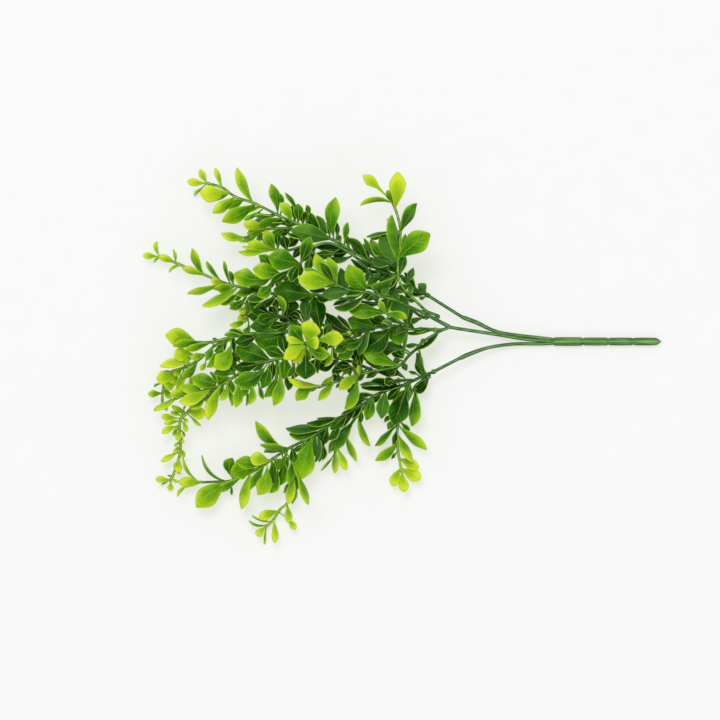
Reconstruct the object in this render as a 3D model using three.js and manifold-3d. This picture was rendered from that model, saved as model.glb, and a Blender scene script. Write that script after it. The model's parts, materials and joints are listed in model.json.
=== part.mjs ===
// An artificial mistletoe bunch, lying on a table and seen from above in its usual picture.
// A segmented stalk carries three stems. Leafy sprays push onto the stems, and onto each other, with a
// short collar. Millimetres, +Z up. The layout below has its own origin in the middle of the foliage,
// +X towards the stalk's end; the finished group is moved so that its origin is at the middle of its base.

import * as THREE from 'three';
import Module from 'manifold-3d';

const library = await Module();
library.setup();

// ---------------------------------------------------------------- driving dimensions

const STALK_Y = 12.5;             // the stalk lies along X at this height in the layout
const STALK_SIDES = 8;            // an octagon, one flat side down
const STALK_NOTCH_RADIUS = 2.1;   // half width across flats at a cut-to-length notch
const STALK_NOTCH_HALF = 0.9;
const STALK_SEGMENTS = [          // [start, end, half width across flats]
  [130.7, 150.9, 2.9],
  [150.9, 168.1, 2.7],
  [168.1, 185.0, 2.6],
  [185.0, 200.0, 2.6],
];
const STALK_TIP = 204.2;
const STALK_SHOULDER_RADIUS = 1.56; // half way along the point
const STALK_TIP_RADIUS = 0.35;
const STALK_SOCKET = 1;           // how far the stalk's inner end reaches over the stems

const STEM_RADIUS = 1.5;
const STEM_SIDES = 5;
const TWIG_RADIUS = 1.3;          // at a spray's base
const TWIG_END_RADIUS = 1.1;      // at its far end
const TWIG_SIDES = 4;
const COLLAR_RADIUS = 1.75;
const COLLAR_LENGTH = 2.4;
const SEAT_GAP = 0.35;            // between a collar and what it is pushed onto
const CLEARANCE = 0.4;            // between the leaves of different sprays

const BLADE_THICKNESS = 1.1;      // at the midrib; the blade thins out to its edge
const PETIOLE_WIDTH = 1.2;
const ROOT_DEPTH = 1;             // how far inside the end of its twig the last leaf's root lies
const ROOT_SHARE = 0.7;           // a leaf's root is this much slimmer, so that its twig hides it
const BLADE_ARCH = 0.1;           // rise of the blade's middle as a share of its length
const LONGEST_PETIOLE = 0.6;      // as a share of the whole leaf
const PETIOLE_BEND = 1.5;         // how strongly a leaf bends to pass where its blade is seen to start
const WIDEST_BEND = 0.35;         // the most that it may bend so, as a share of its length
const OUTLINE_SKEW = 1.6;         // the larger, the nearer to its tip the blade is widest
const OUTLINE_FULLNESS = 0.52;    // the smaller, the fuller the blade
const LEAF_ASPECT = 0.44;         // a leaf seen edge-on has this width over its length
const WIDEST_LEAF = 15.5;
const SHORTEST_LEAF = 11;         // a leaf that looks shorter than this points up or down
const SHORT_LEAF_SLOPE = 0.8;     // the share of its hidden length that such a leaf rises or falls
const LEVEL_AGE = 0.4;            // leaves of this age lie level, younger ones rise and older ones hang
const RISE_BY_AGE = 0.7;          // slope for each unit of age away from that
const LARGE_LEAF = 18;            // leaves longer than this get one more station
const LARGE_STATIONS = [0.36, 0.64, 0.9];
const SMALL_STATIONS = [0.48, 0.86];
// Where a leaf lies on the table its corners stay this high: left edge, midrib, right edge.
const RESTING_HEIGHTS = [0, 1.1, 0];

// The stems, as [x, y, z, radius]. Each ends where the first collar is pushed onto it.
const STEMS = {
  upper: [[133, 13.9, 3.2, 1.6], [122, 15.0, 3.6, 1.5], [94.5, 18.7, 7, 1.5], [78.8, 25.3, 10, 1.9],
    [71, 28.3, 12, 1.9], [67, 30.3, 13, 1.4], [46.9, 42.8, 20, 1.4]],
  middle: [[133, 12.5, 4.2, 1.6], [113.8, 13.8, 6.2, 1.5], [94.5, 16.9, 9, 1.5], [63.2, 21.7, 15, 1.5],
    [59.4, 23, 16, 1.8], [52, 26.8, 20, 1.6], [43.5, 31.3, 24, 1.4]],
  left: [[61, 22.4, 15.6, 1.4], [56, 20.5, 17.2, 1.4], [52, 20.4, 18.6, 1.4]],
  low_left: [[56, 20.5, 17.2, 1.3], [50, 17, 16.6, 1.2], [44, 13.6, 17.2, 1.2]],
  lower: [[133, 11.6, 3.0, 1.6], [122, 10.9, 3.4, 1.5], [104, 10.8, 5, 1.5], [87.1, 8.4, 8, 1.5],
    [75, 4.4, 10.2, 1.9], [69, 1.8, 11.2, 1.9], [65.5, 0.2, 11.8, 1.4], [51.1, -7.2, 14, 1.4]],
};

// ---------------------------------------------------------------- the sprays
// axis: the twig's [x, y, z], starting on its carrier. leaves: [root x, root y, tip x, tip y, width as
// seen from above, age from 0 old and dark to 1 young and lime, sideways bow]. Young leaves rise, old
// ones hang. whorl: leaves set round the twig at this spacing, on twigs hidden under the others.

const SPRAYS = [
  {
    name: 'spray_top_long', on: 'upper', atEnd: true,
    axis: [[46.9, 42.8, 20], [40, 46, 24], [34, 50, 28], [28, 56, 31], [15, 59, 35], [8, 64, 36],
      [0, 70, 36.5], [-9, 75.5, 37], [-19, 81, 37], [-30, 86.5, 36.5], [-42, 91.5, 35.5],
      [-56, 97.8, 33], [-70, 105, 29], [-84, 110, 24], [-93, 116.3, 20], [-104, 119.6, 15]],
    leaves: [
      [-105, 119, -116.3, 120.4, 5.2, 0.95], [-104, 120, -108.3, 129, 4.8, 0.85],
      [-106.3, 117, -112.2, 111, 2.2, 0.7], [-89.5, 113, -107.8, 113, 11.5, 0.85, 1],
      [-93.5, 117, -97.5, 129.3, 3.6, 0.8, -0.5], [-84.3, 109.8, -99.3, 99, 7.5, 0.8, 1],
      [-71.5, 107, -82.5, 129.3, 7, 0.75, 1.5], [-70.3, 104, -92.8, 93, 9.8, 0.6, 0.5],
      [-54, 100.5, -59.8, 118.4, 7.5, 0.55], [-44, 92.5, -53.3, 105.3, 7, 0.8],
      [-41, 99, -50.5, 112.2, 3.5, 0.35], [-34, 96.5, -35.7, 104.2, 4, 0.35],
      [-19, 81.5, -46.3, 87, 13, 0.45], [-14.5, 84, -16.2, 109.2, 10, 0.5, 4.5],
      [-22, 82.5, -29, 97, 6, 0.15], [-26, 84, -37, 100, 7, 0.2],
      [-9.5, 78.5, -8.4, 92.4, 4.5, 0.4, 0.5], [6, 66, -7.5, 82, 7, 0.3],
      [-12.5, 79, -16, 84.3, 4, 0.2], [-57, 95.3, -71.5, 97.3, 3, 0.4],
      [-58, 96.5, -69.8, 99.3, 1.8, 0.25], [47, 42.5, 39.5, 51.3, 7, 0.25],
      [44, 43.5, 34, 46, 4, 0.15], [38, 47, 30, 59, 5, 0.15], [35, 49, 27.5, 57.5, 4, 0.2],
      [36, 45, 31, 41, 5, 0.1], [20, 60, 12, 66.5, 6, 0.1], [22, 56, 10, 45, 8, 0.1],
      [25, 52, 17, 40, 5, 0.1], [34, 50, 24, 47.5, 5, 0.15], [14, 59, 5, 50, 6, 0.2],
      [22, 58, 4, 69, 3.5, 0.1], [16, 56, -2, 64, 3.5, 0.1], [10, 56, -6, 68, 3.5, 0.15],
      [-41, 93, -42, 105, 7, 0.3], [-10, 74, -30, 76, 6, 0.12], [-5, 68, -20, 69, 5, 0.12],
    ],
  },
  {
    name: 'spray_top_side', on: 'spray_top_long',
    axis: [[-37, 89.5, 36], [-43, 87.5, 31], [-50, 88.5, 29], [-63, 88, 27], [-70, 84.8, 25],
      [-78, 82.3, 23]],
    leaves: [
      [-77, 82.3, -93.4, 85.2, 6.2, 0.85, 0.7], [-62.5, 88.5, -78.3, 91.3, 7, 0.85],
      [-64.5, 87.5, -76, 85, 6.5, 0.5], [-63, 87, -67.5, 80.5, 4, 0.3], [-50, 88.5, -60, 83.5, 5, 0.3],
      [-45, 91.5, -62, 91.5, 5, 0.3], [-66, 83.5, -82, 80.5, 3, 0.5], [-40, 86, -49, 76, 7, 0.12],
    ],
  },
  {
    name: 'spray_crown_left', on: 'spray_top_long',
    axis: [[21, 57.7, 33], [18, 53, 39], [9, 56, 45], [3, 63, 49], [-3, 69, 51], [-10, 73.5, 52],
      [-20, 78, 53], [-30, 76.3, 53], [-37, 70, 52], [-40, 64.5, 51], [-47, 60, 49], [-55, 57, 46],
      [-63, 54, 43]],
    leaves: [
      [-40, 64, -61.3, 69.3, 14.5, 0.55], [-39.5, 65.5, -33, 82.5, 8.5, 0.4],
      [-15, 71, -29.5, 71.5, 6.5, 0.1], [-53, 57.5, -71.8, 61, 11.5, 0.6],
      [-66, 52, -84, 58.5, 12.5, 0.55], [-58, 62, -67.8, 70, 7.5, 0.35], [-62, 52.5, -65.8, 58, 3, 0.95],
      [-61, 52.5, -62.5, 57, 2.5, 0.8], [-57, 50.5, -68.7, 43.2, 8.5, 0.45], [-47, 60, -60, 51, 6, 0.25],
      [-41, 66, -46, 52, 7, 0.15], [-32, 70, -37, 60, 6, 0.15],
    ],
  },
  {
    name: 'spray_crown_side', on: 'spray_crown_left',
    axis: [[-33, 74, 52.5], [-37.5, 76.5, 48], [-48, 73.5, 45], [-58, 74, 41]],
    leaves: [
      [-57.5, 74.5, -63.7, 86.8, 8, 0.65], [-60, 74.3, -75.5, 78.5, 6.8, 0.8],
      [-64, 72.8, -81.5, 72.3, 4.6, 0.6], [-49, 73.5, -51.5, 83.3, 7.5, 0.15],
      [-38, 80.5, -49, 84.5, 3, 0.1],
    ],
  },
  {
    name: 'spray_upright', on: 'middle',
    axis: [[50.5, 27.6, 20.8], [48, 31.5, 25], [44, 33.5, 28], [36, 41, 35], [30, 47, 40], [26, 54, 43.5],
      [25.3, 64, 45], [26.3, 76, 44], [27, 88, 41], [24.5, 99, 37], [21.5, 106.5, 33]],
    leaves: [
      [24.2, 102, 25.3, 126.3, 11, 0.95], [22, 105, 18.3, 114, 5, 0.6], [13, 115.5, 1.8, 124, 7, 0.9],
      [20.3, 106, 0.2, 103.8, 3.2, 0.75, -2], [28.3, 85, 38, 105.2, 8, 0.3, 1.5],
      [27, 67.5, 47, 84.5, 15, 0.5, 2],
      [25.6, 66, 21.3, 97.2, 7.8, 0.35], [25, 78, 18.8, 95, 4, 0.4], [21, 86.5, 4.3, 82.6, 3.2, 0.25],
      [24.7, 64.5, 14.5, 85, 12.5, 0.2], [14, 66, 7.3, 81.3, 7.5, 0.5], [10, 66.5, 2.8, 81.8, 3.8, 0.15],
      [27, 66, 30.5, 84.5, 4, 0.3], [25.3, 57.5, 4.2, 48, 4.6, 0.35, 3],
    ],
  },
  {
    name: 'spray_bright_top', on: 'middle', atEnd: true,
    axis: [[43.5, 31.3, 24], [34, 35.5, 33], [24, 40, 43], [14, 42.5, 51], [6.5, 45, 56], [-6, 46.7, 61],
      [-13, 49, 64], [-19, 52, 66]],
    leaves: [
      [-18, 51, -41.2, 54.5, 12.5, 0.95], [-21, 53.5, -29.5, 71.3, 8, 0.85], [-15, 51, -21.5, 68.5, 8, 0.7],
      [-18, 53, -26.5, 65.5, 6, 0.25], [6.5, 45, -7.5, 63.8, 13, 0.6, 2], [5, 41.5, -17.2, 35, 6, 0.15],
      [-5.8, 46.5, -25.7, 43.5, 9, 0.2], [2, 42.5, -10, 42, 2.5, 0.3],
    ],
  },
  {
    name: 'spray_middle_long', on: 'middle',
    axis: [[46.5, 29.7, 22.5], [41, 29.5, 19], [30, 36, 23], [10, 38, 27], [-10, 41, 29], [-33, 44, 30],
      [-50, 43.5, 29], [-66, 46, 27], [-78, 48.5, 25], [-90, 51.5, 22], [-98, 54.5, 19.5],
      [-105, 57.5, 17], [-115, 61.5, 14], [-124, 65.5, 11], [-136, 70, 7.5]],
    leaves: [
      [-137, 70, -146.7, 70.6, 4.6, 0.9], [-135.5, 71, -137.3, 80.2, 3.2, 0.85, 1.5],
      [-136.5, 69.3, -139.2, 65.5, 2, 0.6], [-124.5, 65.8, -136.3, 69.8, 4.8, 0.75],
      [-124.3, 66, -125.8, 74.8, 1.8, 0.7], [-120.5, 63.5, -128.8, 59, 1.8, 0.75, -1.5],
      [-105, 57, -119.7, 61.8, 5.2, 0.75], [-105, 58.5, -113, 75.4, 6, 0.6, 2],
      [-93, 54.5, -103.3, 66.5, 3.6, 0.5, 1.5], [-86.5, 52.5, -91.7, 66.6, 3.2, 0.4, 1.5],
      [-92, 50.5, -99.5, 55.3, 5, 0.85], [-93, 49.8, -116.4, 44.7, 4.8, 0.6],
      [-82, 47.5, -106.2, 36.6, 7, 0.65], [-32, 44.5, -58.2, 47, 15, 0.25], [-76, 41, -88, 34.5, 6, 0.3],
      [-57, 42, -71.5, 34.8, 3.2, 0.1], [-55.5, 42.8, -65.7, 35.3, 3, 0.1], [-66, 48, -84, 44, 6, 0.4],
      [-80, 45, -95, 38, 5, 0.4], [-10, 41, -13, 62, 9, 0.15], [-86, 50, -99, 48, 5, 0.5],
      [14, 43, 2, 41.5, 5, 0.15], [-16, 49, -34, 46.5, 5, 0.2], [-60, 46, -76, 50, 4, 0.4],
      [-60, 43, -76, 41, 4, 0.3],
      [43, 29, 31, 24, 4, 0.15],
    ],
  },
  {
    name: 'twig_middle_hanging', on: 'spray_middle_long',
    axis: [[-70, 46.9, 26.3], [-73, 43, 22], [-76, 40, 19], [-77, 33, 14], [-76, 27, 10]],
    leaves: [
      [-76, 37, -80.5, 31, 4.5, 0.9], [-75, 30, -79.5, 26.5, 4.5, 0.85], [-75, 27, -88, 23.8, 4.2, 0.75],
      [-78, 38.5, -88, 36.5, 3, 0.8], [-77, 33, -82, 26, 4, 0.85], [-70, 25, -79, 17.5, 4.5, 0.5],
    ],
  },
  {
    name: 'spray_inner_main', on: 'left', atEnd: true,
    axis: [[52, 20.4, 18.6], [45, 21, 21], [37, 20.6, 24], [31, 21.5, 26.5], [24, 23, 29], [12, 22, 32],
      [0, 20, 34], [-6, 18.5, 36]],
    leaves: [
      [33, 20.5, 19.5, 15.5, 14, 0.35], [33.5, 28, 20, 42.5, 13.5, 0.25], [11, 21.5, -8.3, 27.5, 12, 0.35],
      [50, 21.3, 36, 20.3, 4, 0.3], [22, 20, 2.5, 7.5, 15, 0.3], [6, 14, -12.8, 11, 8, 0.3],
      [-6.5, 18.5, -23, 32, 8, 0.08, 2], [0.5, 8.5, -15.2, 2, 8.5, 0.35], [5, 21, -0.5, 3, 7, 0.2],
      [-6, 12, -20, 3, 8, 0.3], [50, 19.5, 31, 18.5, 2.5, 0.15], [20, 25, 9, 29, 5, 0.15],
      [29, 24, 19, 28, 4, 0.15],
    ],
  },
  {
    name: 'spray_inner_small', on: 'spray_inner_main',
    axis: [[30, 21.7, 27], [27.5, 25, 33], [22.5, 28.5, 43], [17, 31.7, 52]],
    leaves: [
      [16.3, 31.7, -8.2, 33.8, 10, 0.4], [16.5, 32.3, 13, 39.8, 4.5, 0.55], [17.5, 32, 31.5, 28, 5.5, 0.6],
      [17.5, 27, 22, 23, 3.5, 0.15], [17.5, 27, 15, 24.5, 2, 0.3], [17.5, 33, 20, 34.5, 3, 0.6],
    ],
  },
  {
    name: 'spray_inner_left', on: 'spray_inner_main',
    axis: [[9, 21.5, 32.5], [6, 20, 27], [-5, 18, 24], [-20, 18.5, 24], [-32, 22, 26], [-45, 24.5, 27],
      [-50, 29, 28], [-60, 30, 27]],
    leaves: [
      [-26.5, 21, -31, 42.7, 12.5, 0.2], [-49.5, 30, -47, 42.5, 14, 0.15], [-50, 29.5, -55.3, 43.2, 4.5, 0.5],
      [-52, 28, -62.7, 31.5, 7.5, 0.15], [-37, 28, -47.5, 30.5, 6, 0.1], [-36, 27, -37.5, 42, 8, 0.1],
      [-48, 17, -71, 14.5, 15.5, 0.3], [-58, 30, -69, 26, 8, 0.15], [-60, 30, -75, 38, 9, 0.15],
      [-60, 29, -76, 30, 9, 0.12], [-55, 27, -74, 22.5, 10, 0.15], [-55, 33, -59, 42, 5, 0.15],
      [-49, 24, -62, 23.5, 6, 0.15],
    ],
  },
  {
    name: 'rosette_top', on: 'spray_inner_main', atEnd: true,
    axis: [[-6, 18.5, 36], [-12, 17, 42], [-22, 14, 51], [-30, 12, 58], [-37, 11, 64]],
    leaves: [
      [-36, 13, -30.5, 25, 13.5, 0.8], [-36, 11.3, -27.2, 11.5, 9, 0.9], [-38, 11.3, -49.3, 14.8, 5, 0.9],
      [-38.5, 9.5, -50.8, 0.5, 9, 0.8], [-35.5, 8, -45, -2, 7, 0.9], [-35, 7, -20, 4, 9, 0.55],
      [-38.5, 13, -46, 22.5, 10, 0.45], [-40, 10, -52.8, 9, 7, 0.75], [-29, 14, -11, 13.8, 10.5, 0.85],
      [-36, 1, -36.5, -12.7, 14, 0.15], [-17.5, 5, -23.7, -4.4, 4, 0.75],
    ],
  },
  {
    name: 'spray_left', on: 'spray_inner_left',
    axis: [[-44, 24.3, 27], [-47, 19, 31], [-60, 18, 35], [-72, 18, 36], [-80, 16.5, 35], [-92, 14, 32],
      [-100, 12, 29], [-111, 12, 25]],
    leaves: [
      [-111, 12, -131, 16.5, 12, 0.65, -1], [-79, 16.5, -91.2, 17, 3.8, 0.3],
      [-95, 13.5, -99.5, 14.3, 2.5, 0.3], [-85, 7.5, -98, -5, 13, 0.65],
      [-88, 12, -98, 6, 6, 0.2], [-100, 11, -118, 6.5, 5, 0.4], [-90, 10, -103, -5, 7, 0.4],
      [-68, 16, -84, 12, 9, 0.15], [-108, 12, -126, 9.5, 6, 0.5],
    ],
  },
  {
    name: 'spray_left_drooping', on: 'spray_left',
    axis: [[-88, 14.8, 33], [-92, 12.5, 28], [-98, 9.5, 25], [-104, 4, 22], [-112, -2, 19], [-120, -5.5, 16],
      [-128, -8.5, 13], [-132, -15, 10], [-133.5, -22, 7.5], [-133.8, -29, 5]],
    leaves: [
      [-112.5, 7.5, -125.2, 1, 9.5, 0.75], [-114, 0, -134.8, -4.4, 6.5, 0.8],
      [-115.5, -6, -122.7, -14.3, 4.6, 0.55], [-124, -9.5, -137.3, -12, 9.5, 0.7],
      [-127, -7, -134.7, -9.2, 2.6, 0.35], [-134, -15, -139.5, -18.2, 1.6, 0.3],
      [-127, -13, -131, -19.5, 7, 0.6], [-100, -2, -107.6, -6.7, 3.6, 0.7],
      [-134.3, -22.5, -143.2, -23, 5, 0.6],
      [-133.3, -29.5, -139.4, -34, 2.8, 0.8], [-133, -30, -130.6, -34.2, 3.2, 0.8],
      [-114.5, -10, -113, -19.5, 3, 0.7], [-118, -7, -124, -20, 5, 0.5], [-108, -2, -120, -12, 6, 0.4],
      [-104, 4, -114, 1, 5, 0.6], [-124, -7, -126, -18, 5, 0.55],
    ],
  },
  {
    name: 'spray_lower_left', on: 'spray_inner_main',
    axis: [[-3, 19.3, 35], [-7, 14, 33], [-20, 9, 34], [-35, 6, 36], [-50, 2, 37], [-62, -1, 36.5],
      [-74, -4, 35], [-84, -11, 32], [-94, -17, 29], [-105, -20.5, 25], [-120, -24.5, 20], [-133, -29.8, 16]],
    leaves: [
      [-94, -17, -113.8, -12, 10.5, 0.4], [-92.5, -18, -102, -40.3, 8, 0.7, -1.5],
      [-99, -20.5, -121.7, -28, 8.5, 0.65], [-59.5, -9, -84.7, -14.5, 12.5, 0.35],
      [-50, 1.5, -51.5, -12.5, 11, 0.35], [-52, -11, -58, -30.7, 8.5, 0.5], [-54, -10.5, -64.5, -25, 7, 0.4],
      [-68, -16.5, -65, -26.6, 3.5, 0.3], [-72, -16, -74, -30, 5, 0.6],
      [-81, -16, -83.5, -32, 7, 0.6], [-88, -17, -94, -27, 5, 0.7],
      [-97.5, -24.5, -104, -28.2, 1.5, 0.3], [-44, -6, -48.2, -20.6, 2.6, 0.1],
      [-43, -2.5, -48.7, -11.3, 4.5, 0.2], [-66, -3, -85, -5, 8, 0.12],
      [-88, -9, -95, -16, 9, 0.35], [-60, 1, -84.5, 7.5, 14, 0.1], [-84, -8, -98, -9, 8, 0.2],
      [-105, -20.5, -122, -18, 7, 0.5], [-112, -22, -128, -24, 6, 0.6],
      [-124, -26, -137.5, -33.5, 4, 0.7], [-76, 3, -88, 2, 8, 0.15], [-50, 3, -64, 7, 8, 0.15],
      [-60, -4, -66, -19, 8, 0.2], [-101, -26, -115, -32, 5, 0.6],
    ],
  },
  {
    name: 'spray_hanging_left', on: 'spray_lower_left',
    axis: [[-103, -19.9, 25.7], [-105, -24, 21], [-112, -30, 17], [-117, -36, 14], [-121, -39.5, 12.5],
      [-122, -45, 11], [-121.5, -52, 10], [-121.3, -58, 9], [-122, -64.5, 8], [-124.5, -72, 6.5],
      [-126.5, -78, 5.5], [-128.5, -82, 4.5]],
    leaves: [
      [-116, -35, -104.2, -36.6, 8, 0.85], [-114.5, -38, -107.4, -44.4, 1.8, 0.6],
      [-124.5, -39, -134, -38.3, 4.6, 0.85], [-120.5, -35, -127.8, -35.5, 1.6, 0.6],
      [-119.5, -34.5, -118, -31, 1.6, 0.2], [-120.5, -36, -122.8, -32.3, 2.2, 0.7],
      [-124.5, -44, -133.6, -49.6, 4.6, 0.85], [-123.3, -46, -125.8, -51.3, 3, 0.5],
      [-119.3, -41, -117.3, -48.6, 3.6, 0.7], [-119.8, -47, -119, -52.2, 2.2, 0.5],
      [-122, -46.5, -122.7, -54.5, 4, 0.9], [-121.5, -55, -125, -58.3, 2.6, 0.85],
      [-123.5, -62, -134.5, -68.6, 3.8, 0.85], [-123, -65.5, -122.3, -76.2, 5, 0.85],
      [-120.8, -60, -118.3, -65.3, 2.4, 0.5], [-129, -81, -138, -80.6, 4.6, 0.9],
      [-128, -83, -128.6, -88.6, 4.2, 0.85], [-130.5, -82.3, -134.5, -84.3, 1.2, 0.3],
      [-126.3, -78.5, -130.2, -78.3, 1.6, 0.4], [-127, -80.5, -123, -82.5, 2.5, 0.8],
      [-117, -36, -127, -31, 4, 0.6], [-122, -41, -132, -43, 4, 0.8],
    ],
  },
  {
    name: 'spray_lower_inner', on: 'low_left', atEnd: true,
    axis: [[44, 13.6, 17.2], [40, 9.5, 18.5], [33, 3, 20], [26, -4, 23], [11, -7, 26], [0, -9.5, 29],
      [-10, -12.5, 31], [-19, -15.5, 33], [-28, -18.3, 34]],
    leaves: [
      [-30, -18, -48.3, -12.3, 5, 0.9], [-31.5, -18.5, -42.8, -27.5, 8.5, 0.6, -1],
      [-17, -13.5, -28, -27.3, 5.8, 0.65], [-27, -17.5, -18, -11, 3.5, 0.75],
      [-1, -9.3, -14, -19.8, 8, 0.65], [-12, -14, -16.3, -18.7, 2.6, 0.1],
      [-0.5, -14, -10.2, -33.3, 8, 0.45], [0.5, 8.3, -1.5, -9, 5.6, 0.6], [25.5, -3.5, 1.2, 6.8, 10, 0.5],
      [-17, -0.5, -5, -6.3, 8.5, 0.2], [-18, 0.5, -18.8, -8.2, 3, 0.1], [-3, 6, -5, 0.5, 3, 0.1],
      [28, 0.5, 22.3, -2, 5, 0.2], [28.5, -1, 31.5, -7, 4.5, 0.25], [40, 10.5, 30.5, 9.5, 3.5, 0.2],
      [28.5, -1.5, 30.8, 21, 2.4, 0.5], [28, 9.5, 11, 2.5, 6.5, 0.2], [31, 8, 16, 11, 6, 0.2],
      [29, -7, 18, -8, 5, 0.15],
      [14, -7, 4, -12, 4, 0.1], [-3, -1.5, -16, -4, 6, 0.15], [14, 4, 0, 3, 8, 0.15],
    ],
  },
  {
    name: 'spray_lower_long', on: 'lower', atEnd: true,
    axis: [[51.1, -7.2, 14], [44, -10, 15], [38, -13, 16], [28, -17.5, 17.5], [18, -20.5, 18.5],
      [10, -24, 19], [2, -30, 19], [-5, -34, 19], [-14, -39, 19], [-22, -45, 19], [-30, -50, 19],
      [-38, -54.5, 18.5], [-47, -59, 18], [-55, -64, 17], [-63, -69.5, 16], [-72, -75, 14.5],
      [-80, -79, 13], [-88, -81.8, 11.5], [-96, -82.2, 10], [-104, -82.6, 8.5], [-110, -82.5, 7.5]],
    leaves: [
      [-109, -83, -123.5, -82, 7.2, 0.8], [-118, -84.5, -123.5, -92.3, 2.8, 0.8],
      [-89, -84, -110.5, -99.5, 14, 0.6, -2.3], [-90, -83, -106.7, -64.2, 1.8, 0.4, 4],
      [-109, -80.5, -119.7, -65, 1.8, 0.6, 3], [-87, -84.5, -86.8, -91.5, 2, 0.2],
      [-86.5, -76.5, -86, -66.3, 9, 0.25, 2], [-70.5, -73.5, -87.2, -79, 12, 0.3, -2],
      [-60, -68.5, -74, -65.5, 9.5, 0.7], [-51, -58.5, -70.4, -41.3, 7.5, 0.5, 4],
      [-46, -61, -67.3, -57, 5.2, 0.4], [-45, -66.5, -59.7, -72, 8, 0.35],
      [-60.5, -73.5, -69, -91, 11, 0.5], [-51, -77, -60.8, -90, 5, 0.3],
      [-72.5, -77.5, -79.8, -100.6, 7.5, 0.65, -2.5], [-30, -54.5, -40.5, -80.7, 14.5, 0.5, -2.5],
      [-46, -58, -44, -70, 6, 0.2], [-66, -70.5, -84, -68.5, 9, 0.4], [-50, -67, -55, -85, 7, 0.25],
      [-8, -36, -20, -47, 8, 0.15], [-3, -33, -14, -40, 6, 0.1],
      [26, -15, 6, -16.5, 5, 0.12], [-12, -42, -22, -54, 6, 0.15], [-64, -71, -75, -88, 6, 0.3],
      [-27, -50, -30, -69, 5, 0.1], [-44, -64, -47.5, -85, 6, 0.3], [28, -18, 18, -27, 6, 0.2],
      [-2, -33, -14, -46, 3, 0.15], [-36, -56, -46, -61, 4, 0.15],
      [-40, -78, -34.8, -97.3, 5.6, 0.5, -0.4], [-21, -43, -50, -46.2, 6.5, 0.2, 1.5],
      [-27, -49, -47.8, -50, 8, 0.2],
      [-14.5, -39.5, -36, -42.8, 4.5, 0.15], [-24, -56, -27.8, -69, 4, 0.05],
      [-22.5, -57, -25.3, -68, 3, 0.1], [10.5, -23, -4.2, -25, 3.8, 0.25], [2, -28.3, -9.2, -33.2, 3, 0.1],
      [17, -20.3, 14.5, -39.7, 9, 0.25], [9, -25, 4.5, -40.7, 7.5, 0.3], [37.5, -12.3, 15, -16.8, 3.2, 0.2],
      [32, -18, 0.8, -18, 4, 0.15], [36, -18.5, 21.3, -29.7, 10.5, 0.35],
      [35, -21, 22.8, -44, 14, 0.35, -3],
      [25.5, -6.5, 16.5, -16, 6.5, 0.15], [27.5, -8, 24.5, -15.5, 4, 0.2],
    ],
  },
  {
    name: 'spray_lower_right', on: 'spray_lower_long',
    axis: [[46, -9.2, 14.7], [43.5, -13, 11], [38, -17, 10], [34, -24, 10], [29, -34, 9.5], [26, -42, 9],
      [25, -51, 8], [25.5, -60, 7], [27, -69, 6], [28.5, -77, 5]],
    leaves: [
      [40, -20, 35, -44.8, 8.2, 0.5, -1.5], [51, -9.5, 37, -21, 5, 0.2, 1],
      [22.5, -43, 10.2, -58.3, 4.8, 0.3, 1.5],
      [25.3, -56, 10.2, -68, 7, 0.55, 1.5], [28.5, -44, 45.2, -60.6, 6.5, 0.6, -2.5],
      [25.8, -50, 35.6, -69.3, 6.5, 0.7],
      [27, -66.5, 39.7, -73.6, 7, 0.85], [28, -73.5, 41, -80.6, 8, 0.9],
      [26.3, -73, 22.7, -85.5, 7, 0.92], [28, -76, 30.4, -89.2, 6.8, 0.92], [25, -62, 21.5, -67, 2.5, 0.1],
      [43.5, -10, 38.5, 5, 5, 0.2, 0.5], [40, -10, 32.8, -7.8, 2.6, 0.2],
    ],
  },
  {
    name: 'spray_lower_side', on: 'spray_lower_long',
    axis: [[4, -28.5, 19], [2, -33, 15], [-3, -39, 13], [-8.5, -47, 11.5], [-14, -56, 10], [-17, -63, 8.5]],
    leaves: [
      [-5, -41, -19.3, -61.5, 8.5, 0.2], [0, -38, 6.7, -58.3, 5, 0.5, -1.5],
      [-9.3, -50, -2.4, -68.6, 4.6, 0.5, -1.5],
      [-14.3, -60, -9.4, -74.3, 5.4, 0.8], [-16.8, -64, -17, -76.5, 4.6, 0.6],
      [-17.5, -65, -26.4, -74.9, 1.3, 0.3], [-15.5, -50, -20.8, -63.3, 3.8, 0.4],
    ],
  },
  {
    name: 'spray_lower_tail', on: 'spray_lower_long',
    axis: [[-33, -51.7, 18.8], [-36, -56, 15], [-41, -66, 13.5], [-44, -77, 12], [-47, -88, 10],
      [-49, -96.5, 8.5], [-54, -101, 7.5], [-59, -108.5, 6], [-64, -113, 5]],
    leaves: [
      [-45, -79, -48.8, -97.6, 6.8, 0.65], [-42.8, -81, -45.8, -97.2, 4.2, 0.4],
      [-55.5, -101.5, -68.3, -107.2, 6.8, 0.8], [-60, -109, -73.2, -105.2, 1.2, 0.5, 1.5],
      [-62, -112, -75.2, -108.6, 1.2, 0.5, 1.5], [-48.8, -98, -48, -110.3, 5.2, 0.7],
      [-47.5, -108, -43.9, -114.7, 4.6, 0.85], [-64.3, -113, -69.7, -118.8, 5.4, 0.85],
      [-63.9, -113.8, -64.8, -125, 1.5, 0.7], [-57.3, -109, -57.6, -123.6, 4.7, 0.8],
    ],
  },
  {
    name: 'under_centre', on: 'spray_lower_inner', whorl: 7.5,
    axis: [[8, -7.6, 26.8], [4, -5, 20], [-6, -1, 14], [-20, 2, 11], [-35, 2, 10]],
    leaves: [],
  },
  {
    name: 'under_left', on: 'spray_inner_left', whorl: 7.5,
    axis: [[-20, 18.5, 24], [-24, 23, 18], [-34, 30, 13], [-46, 34, 11], [-56, 34, 10]],
    leaves: [],
  },
];

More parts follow.
